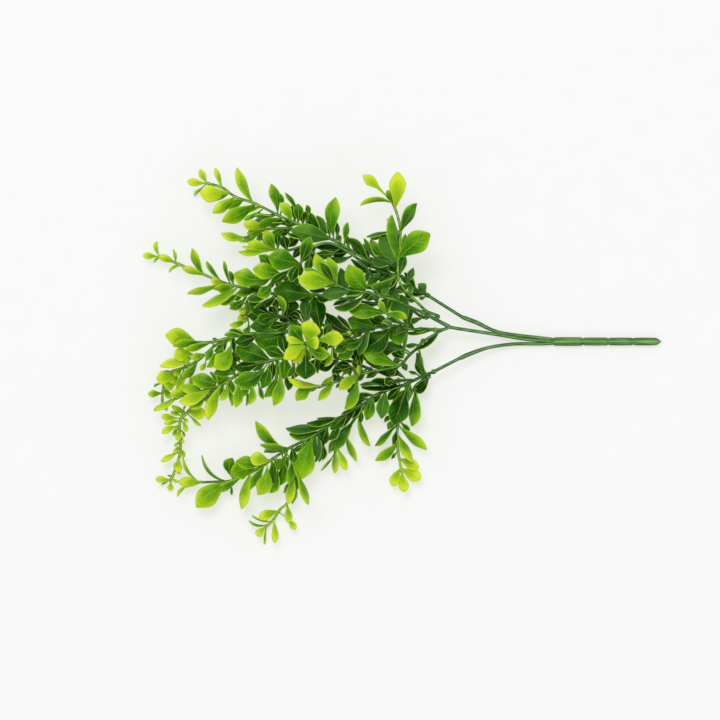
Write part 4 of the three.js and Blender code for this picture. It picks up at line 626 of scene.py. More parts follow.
# Leaves that the frame leaves off, in rows like the sprays': they lie a little lower, among the others.
MORE_LEAVES = {
    "spray_top_long": [
        [-7, 72, -20, 72, 6.5, 0.1], [-52, 95, -69, 90, 6, 0.35], [12, 60, -2, 69, 4, 0.12],
        [26, 58, 19, 66, 7, 0.12], [-38, 91, -39.5, 101, 5, 0.2], [-7, 75, -9.5, 84, 4, 0.2],
        [-15, 82, -16, 93, 4, 0.2], [-44, 93, -53, 91.5, 4, 0.2], [-78, 108, -90, 102.5, 7, 0.5],
        [32, 52, 36, 62, 5, 0.15], [-30, 87, -22, 92, 5, 0.15], [-50, 92, -63, 90.5, 3, 0.3],
        [7, 62, 3, 52, 4, 0.12], [40, 46, 32, 49, 5, 0.15], [47, 43, 40, 42.5, 3, 0.2],
        [-66, 100, -78, 94, 3, 0.5], [-44, 93, -45, 105, 3, 0.35], [-52, 101, -54, 112, 3, 0.45],
        [-20, 82, -22, 91, 3, 0.2], [-88, 112.5, -97, 107.5, 3, 0.5], [-65, 104, -77, 99.5, 3.5, 0.5],
        [7, 66, 2, 78, 3, 0.2], [-41, 91.5, -50, 90.5, 3.5, 0.3], [20, 58, 12, 62.5, 4, 0.08],
        [24, 57, 13.5, 56, 6, 0.06], [26, 56, 16, 53.5, 5, 0.1],
    ],
    "spray_top_side": [
        [-46, 88, -55, 84, 5, 0.2], [-56, 88, -62, 81, 4, 0.3], [-66, 86, -70, 80, 3, 0.4],
    ],
    "spray_crown_left": [
        [-40, 66, -40, 56, 5, 0.15], [-59, 55, -70, 50.5, 5, 0.4], [-28, 77, -34, 73, 4, 0.2],
        [-52, 57, -48, 53, 4, 0.2], [-44, 58, -42, 50, 3.5, 0.15],
    ],
    "spray_upright": [
        [26.5, 56, 29.5, 73, 7, 0.2], [25.5, 70, 21, 80, 5, 0.2], [33, 45.5, 22, 46, 3, 0.2],
        [15, 82, 6, 82.5, 4, 0.3], [26, 56, 19.5, 48.5, 2.5, 0.2], [36, 41, 30, 46, 5, 0.06],
        [38, 39.5, 32, 40.5, 3.5, 0.1], [33, 44, 35, 49.5, 4, 0.1],
    ],
    "spray_bright_top": [
        [3, 45, -11, 45.5, 4.5, 0.2], [20, 41, 12, 36, 5, 0.15], [22, 43, 11, 46, 3, 0.15],
        [12, 47, 3, 48, 3, 0.2], [-26, 58, -38, 60.5, 4, 0.5], [-15, 50, -26, 49, 3, 0.3],
        [14, 42.5, 19.5, 50, 5, 0.08], [18, 41.5, 11, 50, 5, 0.06], [8, 44.5, 1, 42, 5, 0.1],
        [4, 45, -8, 48.5, 5.5, 0.08], [22, 40, 17, 36.5, 4, 0.1], [26, 39, 22, 47, 5, 0.08],
    ],
    "spray_middle_long": [
        [-18, 40, -29, 42.5, 4.5, 0.15], [-85, 51, -88, 60, 4, 0.4], [-84, 49, -95, 46, 3.5, 0.4],
        [30, 35, 20, 30, 6, 0.12], [24, 37, 12, 33, 6, 0.12], [-7, 40.5, -18, 37, 3.5, 0.2],
        [-62, 47, -56, 54, 3, 0.3], [-30, 43, -41, 40, 3.5, 0.15], [14, 37, 3, 38, 2.5, 0.2],
        [-78, 43, -86, 41, 3.5, 0.4], [-50, 45, -57, 54, 6, 0.1], [-40, 44.5, -44, 54, 5, 0.08],
        [-30, 43.5, -39, 40, 4.5, 0.1], [-15, 41.8, -25, 42, 4.5, 0.08],
    ],
    "spray_inner_main": [
        [16, 23, 4, 28.5, 5, 0.12], [24, 23, 30, 14, 5, 0.15], [37, 20.6, 30, 27, 4, 0.15],
        [-4, 17, -13, 15, 3.5, 0.15],
    ],
    "spray_inner_left": [
        [-5, 19, -15, 30, 5, 0.12], [-46, 24.5, -56, 20, 4.5, 0.12], [-34, 22, -24, 29, 6, 0.1],
        [-40, 24, -47, 27.5, 3.5, 0.15], [-24, 20, -21, 29, 3, 0.15], [-37, 25, -40.5, 33, 2.5, 0.15],
        [2, 19.5, -3, 15.5, 4, 0.08], [-8, 18, -2, 21, 4, 0.08],
    ],
    "rosette_top": [
        [-22, 14, -26, 3, 6, 0.2], [-24, 14, -20, 24, 6, 0.2], [-37, 10, -33, 0, 4, 0.3],
    ],
    "spray_left": [
        [-98, 9, -104, 0, 4, 0.3], [-76, 17, -88, 20, 4, 0.3],
    ],
    "spray_left_drooping": [
        [-118, -4, -121, 3, 4, 0.5], [-129, -10, -126, -16, 4, 0.6],
        [-133.5, -18, -127.5, -26, 4.5, 0.6], [-112, 3, -119, -1, 4.5, 0.6],
        [-120, -5, -125, -11, 5, 0.5],
    ],
    "spray_lower_left": [
        [-50, 4, -53, 18, 8, 0.12], [-58.5, 0, -59.5, -14, 5.5, 0.15], [-87, -13, -86.5, -23, 6, 0.4],
        [-63, -2, -72, -7, 4, 0.2], [-85, -10, -85.5, 1, 6, 0.2], [-84, 3, -86, 16, 4, 0.2],
        [-28, 7, -22, -3, 6, 0.12], [-28, 6, -28.5, -9, 4, 0.2], [-50, -9, -48.5, -20, 4, 0.2],
        [-76, -14, -79, -25, 5, 0.4], [-91, -16, -95.5, -24, 3.5, 0.4], [-55, 0, -58, -9, 3, 0.2],
        [-41, -6, -44.5, -12, 4, 0.2], [-95, -16, -101, -8, 3, 0.3], [-75, -20, -76.5, -31, 3, 0.4],
        [-18, 9, -16, 0, 3.5, 0.2], [-88, -18, -86, -31, 3.5, 0.5],
    ],
    "spray_lower_inner": [
        [-14, -1, -17, -15, 8, 0.15], [16, -6, 4, -1, 5, 0.15], [31, 1, 20, 7, 6, 0.15],
        [1, -5, -1, 5, 5, 0.15], [-4, -12, -8, -22, 5, 0.2], [-8, -3, -19, -7.5, 6, 0.2],
        [0, -9, -5, 0, 3, 0.2],
        [36.5, 5, 52.5, 18.5, 2.2, 0.2, -0.5],
    ],
    "spray_lower_long": [
        [-22, -44, -26, -58, 8, 0.12], [-80, -80, -98, -90, 6, 0.4], [-30, -49, -31, -65, 5, 0.1],
        [-59, -68, -58.5, -84, 6, 0.2], [30, -9, 12, -8.5, 8, 0.15], [6, -25, -5, -29, 5, 0.15],
        [3, -30, -7, -39, 4, 0.15], [-51, -61, -65, -62, 4, 0.3], [15, -22, 7, -29, 5, 0.15],
        [1, -33, 0, -43, 4, 0.2], [17, -16, 0, -17, 2.5, 0.2], [-50, -64, -49, -73, 3, 0.3],
        [-14, -39, -29, -39.5, 2.5, 0.2],
        [45, -9.5, 40, 8, 1.6, 0.2, 1.5],
    ],
    "spray_lower_right": [
        [43, -12, 38, 0, 6, 0.2], [47, -12, 37, -19.5, 4, 0.2], [25, -46, 22.5, -59, 4, 0.2],
        [36, -22, 30, -16, 5, 0.15], [29, -36, 23, -30, 6, 0.15], [24.5, -40, 19, -47, 5, 0.3],
        [28, -42, 33.5, -49, 3.5, 0.3], [22, -36, 16.5, -42, 3.5, 0.3],
    ],
    "spray_hanging_left": [
        [-121, -37, -127.5, -36, 3, 0.7], [-120.5, -38, -116.5, -42, 3, 0.7],
        [-121.5, -58, -126, -63, 3, 0.8], [-122, -50, -119, -56, 2.5, 0.8],
        [-122, -60, -119, -66, 2.5, 0.8], [-122, -44, -126, -47, 3, 0.8],
        [-122.5, -68, -126, -72, 2.5, 0.8], [-125, -73, -121.5, -77, 2.5, 0.8],
    ],
    "spray_lower_tail": [
        [-45.5, -80, -51.5, -90, 3.5, 0.4], [-42, -70, -49.5, -66, 3, 0.3],
        [-43.5, -76, -42.5, -88, 2.5, 0.4],
    ],
    "twig_middle_hanging": [
        [-73, 42, -76, 31, 4, 0.4],
    ],
    "spray_crown_side": [
        [-60, 74.5, -79, 76, 3, 0.6], [-55, 75, -55.5, 86, 5.5, 0.2], [-39, 76, -45, 68.5, 5, 0.12],
    ],
    "under_centre": [
        [-28, 2, -26, -6, 5, 0.08], [-15, 1, -17, -4, 4, 0.08], [-33, 2, -33, 7, 4, 0.08],
    ],
}

# ---------------------------------------------------------------- paths


def eased(share):
    """A share from 0 to 1 that starts and ends gently."""
    return share * share * (3 - 2 * share)


def nearest_on_path(path, point, with_depth):
    """The distance along a path of its point nearest to a given one. Without depth only x and y count."""
    best, nearest, travelled = math.inf, 0.0, 0.0
    for start, end in zip(path, path[1:]):
        step = end - start
        flat_step = Vector((step.x, step.y, step.z if with_depth else 0))
        offset = point - start
        if not with_depth:
            offset.z = 0
        share = min(max(offset.dot(flat_step) / flat_step.length_squared, 0), 1)
        distance = (offset - flat_step * share).length
        if distance < best:
            best, nearest = distance, travelled + share * step.length
        travelled += step.length
    return nearest


def path_length(path):
    return sum((end - start).length for start, end in zip(path, path[1:]))


def point_on_path(path, distance):
    """The place and the direction at a distance along a path."""
    left = distance
    last = len(path) - 2
    for i, (start, end) in enumerate(zip(path, path[1:])):
        step = end - start
        if left <= step.length or i == last:
            along = step.normalized()
            return start + along * left, along
        left -= step.length


def seated_path(spray, carrier_path, carrier_radius):
    """A twig's path with its collar seated on the carrier: end to end, or standing on its side."""
    path = [Vector(point) for point in spray["axis"]]
    seat, along = point_on_path(carrier_path, nearest_on_path(carrier_path, path[0], True))
    away = path[1] - seat
    reach = SEAT_GAP
    if spray.get("at_end"):
        away = along.copy()
    else:
        away -= away.dot(along) * along
        reach += carrier_radius
    away.normalize()
    start = seat + away * reach
    return [start, start + away * COLLAR_LENGTH, *path[1:]]


def smooth_path(path, spacing):
    """Points of a smooth curve through a path's points, each with the share of the path that it is at."""
    points = []
    last = len(path) - 2
    for i in range(last + 1):
        before, start, end, after = path[max(i - 1, 0)], path[i], path[i + 1], path[min(i + 2, last + 1)]
        count = max(2, round((end - start).length / spacing))
        for k in range(count + (i == last)):
            t = k / count
            curve = (
                2 * start
                + (end - before) * t
                + (2 * before - 5 * start + 4 * end - after) * t**2
                + (3 * start - before - 3 * end + after) * t**3
            )
            points.append((curve / 2, (i + t) / (last + 1)))
    return points


# ---------------------------------------------------------------- leaves, as the frame has them

Leaf = namedtuple("Leaf", "path distance seen tip bow width roll blade_start look")
Pose = namedtuple("Pose", "size slide lift flip")
Blade = namedtuple("Blade", "root middle tip length width roll start")
Swell = namedtuple("Swell", "cup wave phase")


def blade_width(share):
    """The outline of the blade: obovate, widest at two thirds of its length."""
    return math.sin(math.pi * share**OUTLINE_SKEW) ** OUTLINE_FULLNESS


def root_distance(path, distance):
    """Where along its twig a leaf that is seen at a distance along it grows."""
    return min(max(distance, COLLAR_LENGTH), path_length(path) - ROOT_DEPTH)


def outer_ripeness(place):
    """How much paler leaves and twigs look in a place than where they are greenest."""
    distance = math.hypot(place.x - DEEPEST_GREEN[0], place.y - DEEPEST_GREEN[1])
    outwards = (distance - OUTER_START) / OUTER_SPAN
    return OUTER_RIPENESS * min(max(outwards, 0), 1)


def extra_bloom_sheen(place):
    """How much more of the old leaves' bloom, a painted sheen, shows in a place than elsewhere."""
    aside, along = place.x - EXTRA_BLOOM_SHEEN_CENTRE[0], place.y - EXTRA_BLOOM_SHEEN_CENTRE[1]
    return EXTRA_BLOOM_SHEEN * max(1 - (aside / EXTRA_BLOOM_SHEEN_REACH[0]) ** 2 - (along / EXTRA_BLOOM_SHEEN_REACH[1]) ** 2, 0)


def leaf_from_row(row, index, path):
    """The leaf that a row describes: its length and roll follow from how short and slim it looks."""
    root_x, root_y, tip_x, tip_y, width, age = row[:6]
    bow = row[6] if len(row) > 6 else 0
    seen = Vector((root_x, root_y, 0))
    tip = Vector((tip_x, tip_y, 0))
    look = (row[7] if len(row) > 7 else age) + outer_ripeness(tip)
    distance = root_distance(path, nearest_on_path(path, seen, False))
    place = point_on_path(path, distance)[0]
    flat_length = math.hypot(tip_x - place.x, tip_y - place.y)
    blade_length = (tip - seen).length
    petiole = math.hypot(root_x - place.x, root_y - place.y)
    shortfall = math.sqrt(max(SHORTEST_LEAF**2 - flat_length**2, 0))
    up_or_down = 1 if age > LEVEL_AGE else -1
    rise = RISE_BY_AGE * (age - LEVEL_AGE) * flat_length
    tip.z = place.z + rise + SHORT_LEAF_SLOPE * up_or_down * shortfall
    nominal = min(max(width, LEAF_ASPECT * blade_length), WIDEST_LEAF)
    roll = math.acos(min(1, width / nominal)) * (-1 if index % 2 else 1)
    start = min(petiole / (petiole + blade_length), LONGEST_PETIOLE)
    return Leaf(path, distance, seen, tip, bow, max(width, nominal), roll, start, look)


def straight_leaf(path, distance, reach, roll, age):
    """A leaf with a short petiole that reaches straight out from its twig."""
    seen = point_on_path(path, distance)[0]
    width = min(LEAF_ASPECT * reach.length, WIDEST_LEAF)
    return Leaf(path, distance, seen, seen + reach, 0, width, roll, SHORT_PETIOLE, age)


def lower_leaf(upper, index):
    """A leaf that hangs below another one, turned aside from it."""
    turn = LOWER_LEAF_TURN * (1 if index % 2 else -1)
    reach = (upper.tip - point_on_path(upper.path, upper.distance)[0]) * LOWER_LEAF_LENGTH
    reach.z = 0
    reach.rotate(Quaternion(UP, turn))
    reach.z = -LOWER_LEAF_DROP
    return straight_leaf(upper.path, upper.distance, reach, turn, LOWER_LEAF_AGE)


def whorl(path, spacing):
    """Leaves all round a twig, each turned on from the last by the golden angle."""
    leaves = []
    length = path_length(path)
    i = 0
    while 2 * COLLAR_LENGTH + i * spacing < length + spacing / 2:
        distance = root_distance(path, 2 * COLLAR_LENGTH + i * spacing)
        along = point_on_path(path, distance)[1]
        outwards = Quaternion(along, i * GOLDEN_ANGLE) @ UP.cross(along).normalized()
        leaf_length = WHORL_LEAF_LENGTH * (1 + WHORL_LEAF_SPREAD * ((i * GOLDEN_RATIO) % 1 - 0.5))
        reach = (outwards + WHORL_LEAN * along).normalized() * leaf_length
        leaves.append(straight_leaf(path, distance, reach, 0, WHORL_AGE))
        i += 1
    return leaves


def spray_leaves(spray, path):
    """Every leaf of a spray, in the order in which the frame has them."""
    upper = [leaf_from_row(row, i, path) for i, row in enumerate(spray["leaves"])]
    hanging = [
        leaf
        for i, leaf in enumerate(upper)
        if i % LOWER_LEAF_EVERY == 1 and point_on_path(path, leaf.distance)[0].z > LOWER_LEAF_FLOOR
    ]
    lower = [lower_leaf(leaf, i) for i, leaf in enumerate(hanging)]
    return [*upper, *lower, *(whorl(path, spray["whorl"]) if "whorl" in spray else [])]


def posed(leaf, pose):
    """The blade of a leaf in a pose: shrunk, slid along its twig, lifted and perhaps rolled over."""
    root = point_on_path(leaf.path, root_distance(leaf.path, leaf.distance + pose.slide))[0]
    tip = root.lerp(leaf.tip, pose.size)
    tip.z += pose.lift
    chord = tip - root
    length = chord.length
    sideways = Vector((-chord.y, chord.x, 0)).normalized()
    widest = WIDEST_BEND * length
    bend = PETIOLE_BEND * (leaf.seen - root).dot(sideways)
    bend = min(max(bend, -widest), widest) + 2 * leaf.bow
    middle = root + 0.5 * chord + bend * sideways
    middle.z += 2 * BLADE_ARCH * length
    width, roll = leaf.width * pose.size, leaf.roll * pose.flip
    return Blade(root, middle, tip, length, width, roll, leaf.blade_start)


def centre_line(blade, t):
    """The place and the direction at a share t of a leaf's centre line."""
    place = blade.root * (1 - t) ** 2 + blade.middle * (2 * t * (1 - t)) + blade.tip * t**2
    along = (blade.middle - blade.root) * (1 - t) + (blade.tip - blade.middle) * t
    return place, along.normalized()


def frame_corners(blade):
    """The corners that the frame's leaf has in this pose, apart from those hidden in its twig."""
    corners = []
    for share in LARGE_STATIONS if blade.length > LARGE_LEAF else SMALL_STATIONS:
        place, along = centre_line(blade, blade.start + share * (1 - blade.start))
        side = Quaternion(along, blade.roll) @ UP.cross(along).normalized()
        top = along.cross(side)
        half = max(blade.width * blade_width(share), PETIOLE_WIDTH) / 2
        ring = [
            place + side * half - top * BLADE_THICKNESS / 3,
            place + top * BLADE_THICKNESS * 2 / 3,
            place - side * half - top * BLADE_THICKNESS / 3,
        ]
        for corner, height in zip(ring, RESTING_HEIGHTS):
            corner.z = max(corner.z, height)
        corners += ring
    return [*corners, Vector((blade.tip.x, blade.tip.y, max(blade.tip.z, 0)))]


POSES = [
    Pose(size, slide, lift, flip)
    for size in POSE_SIZES
    for slide in POSE_SLIDES
    for lift in POSE_LIFTS
    for flip in POSE_FLIPS
]
LOWER_POSE = Pose(1, 0, -3, 1)  # of the leaves that only the fine pieces have


def find_blade(leaf, corners_of_node):
    """The leaf in the pose that it has in the frame, or None if the frame left it off."""
    best, best_share = None, LEAST_MATCH
    for pose in POSES:
        blade = posed(leaf, pose)
        corners = frame_corners(blade)
        found = sum(corners_of_node.find(corner)[2] < MATCH_DISTANCE for corner in corners)
        if found / len(corners) > best_share:
            best, best_share = blade, found / len(corners)
        if best_share == 1:
            break
    return best


# ---------------------------------------------------------------- mesh making


class Piece:
    """A mesh in the making: rings of points in layout millimetres, with a leaf coordinate on each."""

    def __init__(self):
        self.points, self.faces, self.materials = [], [], []
        self.coordinates, self.tones, self.spans = [], [], []

    def add_rings(self, rings, coordinates, tone, material, spans=None):
        """Joins rings of equal count into a closed skin. The last ring may be a single point.

        The spans are the rings' half widths.
        """
        first = len(self.points)
        starts = []
        for ring, ring_coordinates, span in zip(rings, coordinates, spans or [0.0] * len(rings)):
            starts.append(len(self.points))
            self.points += ring
            self.coordinates += ring_coordinates
            self.tones += [tone] * len(ring)
            self.spans += [span] * len(ring)
        faces = [tuple(range(first + len(rings[0]) - 1, first - 1, -1))]
        for r in range(len(rings) - 1):
            count = len(rings[r])
            for i in range(count):
                a, b = starts[r] + i, starts[r] + (i + 1) % count
                if len(rings[r + 1]) == 1:
                    faces.append((a, b, starts[r + 1]))
                else:
                    c, d = starts[r + 1] + i, starts[r + 1] + (i + 1) % count
                    faces.append((a, b, d, c))
        if len(rings[-1]) > 1:
            faces.append(tuple(range(starts[-1], starts[-1] + len(rings[-1]))))
        self.faces += faces
        self.materials += [material] * len(faces)

    def finish(self, name, materials, node):
        """The object, in the frame, in place of the frame's node."""
        mesh = bpy.data.meshes.new(name)
        mesh.from_pydata([(point + LAYOUT_ORIGIN) * MM for point in self.points], [], self.faces)
        mesh.polygons.foreach_set("material_index", self.materials)
        mesh.polygons.foreach_set("use_smooth", [True] * len(self.faces))
        leaf = mesh.attributes.new("leaf", "FLOAT_VECTOR", "POINT")
        leaf.data.foreach_set("vector", [value for triple in self.coordinates for value in triple])
        for kind, values in (("tone", self.tones), ("span", self.spans)):
            mesh.attributes.new(kind, "FLOAT", "POINT").data.foreach_set("value", values)
        for material in materials:
            mesh.materials.append(material)
        mesh.update()
        piece = bpy.data.objects.new(name, mesh)
        bpy.context.scene.collection.objects.link(piece)
        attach(piece, "root")
        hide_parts(node)


def circle(centre, along, radius, sides):
    """The points of a circle that faces along a direction, from its side over its top."""
    side = UP.cross(along).normalized()
    top = along.cross(side)
    return [
        centre + radius * (math.cos(angle) * side + math.sin(angle) * top)
        for angle in (2 * math.pi * i / sides for i in range(sides))
    ]


def add_round_rings(piece, rings, ages, sides, material, tone):
    """Rings of a round skin, flattened where they would go below the surface that the bunch lies on."""
    for ring in rings:
        for point in ring:
            point.z = max(point.z, 0)
    across = [math.cos(2 * math.pi * k / sides) for k in range(sides)]
    coordinates = [
        [(side, TWIG_MARK, age) for side in across[: len(ring)]] for ring, age in zip(rings, ages)
    ]
    piece.add_rings(rings, coordinates, tone, material)


def add_tube(piece, line, radii, ages, sides, material, tone):
    """A round tube along a line of points, closed with a small dome at its end."""
    shoulder, shoulder_width, height = (radii[-1] * share for share in DOME)
    rings = []
    for i, (point, radius) in enumerate(zip(line, radii)):
        before, after = line[max(i - 1, 0)], line[min(i + 1, len(line) - 1)]
        rings.append(circle(point, (after - before).normalized(), radius, sides))
    direction = (line[-1] - line[-2]).normalized()
    rings.append(circle(line[-1] + direction * shoulder, direction, shoulder_width, sides))
    rings.append([line[-1] + direction * height])
    add_round_rings(piece, rings, [*ages, ages[-1], ages[-1]], sides, material, tone)


def blade_pointedness(blade, age):
    """How much a blade's end is drawn in to a point."""
    pointedness = LEAST_POINTED + POINTEDNESS * max(1 - blade.width / WIDEST_LEAF, 0)
    if blade.length < SHORT_BLADE:
        pointedness *= max(1 - SHORT_ROUNDNESS * age, 0)
    return pointedness


def section_shares(start):
    """Where a leaf's sections are, as shares of its blade. Those of the petiole are negative."""
    shares = []
    if start > 0:
        petiole = -start / (1 - start)
        shares = [petiole * (1 - k / PETIOLE_RINGS) for k in range(PETIOLE_RINGS)]
    return shares + [math.sin(math.pi / 2 * k / BLADE_RINGS) for k in range(1, BLADE_RINGS)]


def blade_section(width, share, swell):
    """A leaf's section, as (across, lift, half thickness): round in the petiole, and thin in the blade.

    The blade is crowned, folded along its midrib, cupped and waved.
    """
    flat = min(max((width - PETIOLE_WIDTH) / RIM_BLEND, 0), 1)
    thickness = FINE_PETIOLE_THICKNESS + (FINE_BLADE_THICKNESS - FINE_PETIOLE_THICKNESS) * flat
    power = ROUND_EDGE + (SQUARE_EDGE - ROUND_EDGE) * flat
    section = []
    for k, across in enumerate((*TOP_ACROSS, *UNDER_ACROSS)):
        half = 0.5 * thickness * math.sqrt(max(1 - abs(across) ** power, 0))
        if k >= len(TOP_ACROSS):
            half = -half
        lift = CROWN_RISE - CROWN_DROOP * abs(across) ** CROWN_POWER
        lift += FOLD_SHARE * width * (FOLD_LEVEL - abs(across))
        lift += swell.cup * CUP_SHARE * width * (across**2 - CUP_LEVEL)
        ripple = math.sin(WAVES_ALONG * share + swell.phase + WAVES_ACROSS * across)
        lift += swell.wave * WAVE_SHARE * width * across**2 * ripple
        section.append((across, flat * lift, half))
    return section


def add_blade(piece, blade, age, chance):
    """A leaf: a round petiole that widens into a thin, slightly cupped and waved blade."""
    # A leaf's tone is raised where the extra painted bloom sheen shows.
    tone = chance.random() + extra_bloom_sheen(blade.tip)
    swell = Swell(chance.uniform(-1, 1), chance.uniform(LEAST_WAVE, 1), chance.uniform(0, 2 * math.pi))
    pointedness = blade_pointedness(blade, age)
    rings, coordinates, spans = [], [], []
    last_level = None
    for share in section_shares(blade.start):
        place, along = centre_line(blade, blade.start + share * (1 - blade.start))
        level = UP.cross(along).normalized()
        if last_level is not None and level.dot(last_level) < 0:
            level.negate()
        last_level = level
        side = Quaternion(along, blade.roll) @ level
        top = along.cross(side)
        width = max(BLADE_SPREAD * blade.width * blade_width(max(share, 0)), FINE_PETIOLE_WIDTH)
        width *= 1 - pointedness * max((share - TIP_START) / (1 - TIP_START), 0) ** 2
        ring, ring_coordinates = [], []
        for across, lift, half in blade_section(width, share, swell):
            point = place + side * (width / 2 * across) + top * (lift + half)
            point.z = max(point.z, 0.5 * FINE_BLADE_THICKNESS + half)
            ring.append(point)
            ring_coordinates.append((across, max(share, LOWEST_ALONG), age))
        rings.append(ring)
        coordinates.append(ring_coordinates)
        spans.append(width / 2)
    rings.append([Vector((blade.tip.x, blade.tip.y, max(blade.tip.z, LOWEST_TIP)))])
    coordinates.append([(1.0, 1.0, age)])
    piece.add_rings(rings, coordinates, tone, LEAF, [*spans, 0.0])


# ---------------------------------------------------------------- materials


def linear(colour):
    """The linear values of a colour written as six hexadecimal digits."""
    channels = (int(colour[i : i + 2], 16) / 255 for i in (0, 2, 4))
    return (*((c / 12.92 if c <= 0.04045 else ((c + 0.055) / 1.055) ** 2.4) for c in channels), 1)


class Shader:
    """A material in the making."""

    def __init__(self, name):
        self.material = bpy.data.materials.new(name)
        self.material.use_nodes = True
        self.nodes = self.material.node_tree.nodes
        self.links = self.material.node_tree.links
        self.principled = self.nodes["Principled BSDF"]

    def feed(self, socket, value):
        """Links another node's output to a socket, or sets a constant on it."""
        if isinstance(value, bpy.types.NodeSocket):
            self.links.new(value, socket)
        else:
            socket.default_value = value

    def surface(self, inputs):
        """Feeds the inputs of the material's own shader."""
        for key, value in inputs.items():
            self.feed(self.principled.inputs[key], value)

    def add(self, kind, inputs=None, **settings):
        """A new node, with its inputs fed and its settings made."""
        node = self.nodes.new(kind)
        for key, value in settings.items():
            setattr(node, key, value)
        for key, value in (inputs or {}).items():
            self.feed(node.inputs[key], value)
        return node

    def math(self, operation, a, b=0.0, clamp=False):
        return self.add("ShaderNodeMath", {0: a, 1: b}, operation=operation, use_clamp=clamp).outputs[0]

    def product(self, a, b):
        return self.math("MULTIPLY", a, b)

    def smooth(self, value, low, high, to_low=0.0, to_high=1.0):
        """A value that runs smoothly from to_low to to_high as another goes from low to high."""
        inputs = {"Value": value, "From Min": low, "From Max": high, "To Min": to_low, "To Max": to_high}
        return self.add("ShaderNodeMapRange", inputs, interpolation_type="SMOOTHSTEP").outputs["Result"]

    def noise(self, scale, detail=2.0, stretch=None):
        """Soft noise from -0.5 to 0.5, in the object's own space."""
        place = self.add("ShaderNodeTexCoord").outputs["Object"]
        if stretch:
            place = self.add("ShaderNodeMapping", {"Vector": place, "Scale": stretch}).outputs["Vector"]
        inputs = {"Vector": place, "Scale": scale, "Detail": detail}
        return self.math("SUBTRACT", self.add("ShaderNodeTexNoise", inputs).outputs["Fac"], 0.5)

    def ramp(self, position, stops):
        """The colour at a position between stops, each a place and a colour."""
        ramp = self.add("ShaderNodeValToRGB", {"Fac": position})
        elements = ramp.color_ramp.elements
        while len(elements) < len(stops):
            elements.new(0.5)
        for element, (place, colour) in zip(elements, stops):
            element.position = place
            element.color = linear(colour)
        return ramp.outputs["Color"]

    def blend(self, colour, other, *terms):
        """A colour that goes over to another one by the sum of the terms."""
        mix = self.add("ShaderNodeMix", data_type="RGBA")
        self.feed(mix.inputs[0], self.math("ADD", self.total(*terms), 0.0, clamp=True))
        self.feed(mix.inputs[6], colour)
        mix.inputs[7].default_value = linear(other)
        return mix.outputs[2]

    def total(self, *terms):
        """The sum of terms, each a socket or a (socket, factor) pair."""
        result = None
        for term in terms:
            if isinstance(term, tuple):
                term = self.product(*term)
            result = term if result is None else self.math("ADD", result, term)
        return result

    def bump(self, height, distance):
        """Relief of a height, times a distance in millimetres."""
        inputs = {"Height": height, "Distance": distance * MM, "Strength": 1.0}
        return self.add("ShaderNodeBump", inputs).outputs["Normal"]


def leaf_coordinates(shader):
    """What the mesh says of a point: across, along and age, then tone and half width."""
    leaf = shader.add("ShaderNodeAttribute", attribute_name="leaf").outputs["Vector"]
    parts = shader.add("ShaderNodeSeparateXYZ", {"Vector": leaf}).outputs
    tone, span = (
        shader.add("ShaderNodeAttribute", attribute_name=kind).outputs["Fac"] for kind in ("tone", "span")
    )
    return parts["X"], parts["Y"], parts["Z"], tone, span


def leaf_material(name):
    """Glossy leaves from deep green to lime, with a pale rim and midrib, side veins and some bloom, which
    is painted sheen.
    """
    shader = Shader(name)
    across, along, age, tone, span = leaf_coordinates(shader)
    aside = shader.math("ABSOLUTE", across)
    on_blade = shader.smooth(along, *BLADE_START)
    from_midrib = shader.product(aside, span)
    from_margin = shader.math("SUBTRACT", span, from_midrib)
    margin = shader.product(shader.smooth(from_margin, RIM_WIDTH, LINE_CORE * RIM_WIDTH), on_blade)
    midrib = shader.smooth(from_midrib, LINE_CORE * MIDRIB_WIDTH, MIDRIB_WIDTH, 1, 0)
    midrib = shader.product(midrib, shader.smooth(along, *MIDRIB_END))
    # Side veins leave the midrib and run on towards the tip.
    vein_phase = shader.total((along, VEINS), (aside, -VEIN_SLANT))
    wave = shader.math("SINE", shader.product(vein_phase, 2 * math.pi))
    veins = shader.product(shader.smooth(wave, *VEIN_CREST), shader.smooth(aside, *VEIN_END))
    veins = shader.product(veins, on_blade)
    mottle = shader.noise(LEAF_MOTTLE_SCALE, 3.0)
    grain = shader.noise(LEAF_GRAIN_SCALE)
    # Young growth is lime at its tip and edges, and greener inside and towards its root.
    tipwards = shader.smooth(along, *TIPWARDS)
    edgewards = shader.smooth(aside, *EDGEWARDS)
    ripeness = shader.total((tipwards, 0.45), (edgewards, 0.28), (age, 0.28))
    shade = shader.total(
        shader.product(age, shader.math("ADD", ripeness, LEAST_RIPENESS)),
        (shader.math("SUBTRACT", tone, MIDDLE_TONE), 0.16),
        (mottle, 0.35),
        (veins, 0.09),
        (shader.product(tipwards, edgewards), 0.1),
    )
    colour = shader.blend(shader.ramp(shade, LEAF_STOPS), RIM, (margin, 0.85), (midrib, 0.5))
    # Some of the old leaves have a dull greyish bloom: painted sheen, a grey-green reflection put into
    # their colour.
    bloom_sheen = shader.product(shader.smooth(tone, *BLOOM_SHEEN_TONES), shader.smooth(age, *BLOOM_SHEEN_AGES))
    bloom_sheen = shader.product(bloom_sheen, shader.smooth(aside, *BLOOM_SHEEN_EDGE, 0, MOST_BLOOM_SHEEN))
    roughness = shader.total((mottle, 0.25), (bloom_sheen, 0.2), (grain, 0.08))
    relief = shader.total((midrib, -1.0), (veins, -0.35), (grain, 0.35), (mottle, 1.2), (margin, 0.4))
    shader.surface({
        "Base Color": shader.blend(colour, BLOOM_SHEEN, bloom_sheen),
        "Roughness": shader.math("ADD", roughness, LEAF_ROUGHNESS, clamp=True),
        "Normal": shader.bump(relief, LEAF_RELIEF),
        **LEAF_SURFACE,
    })
    return shader.material


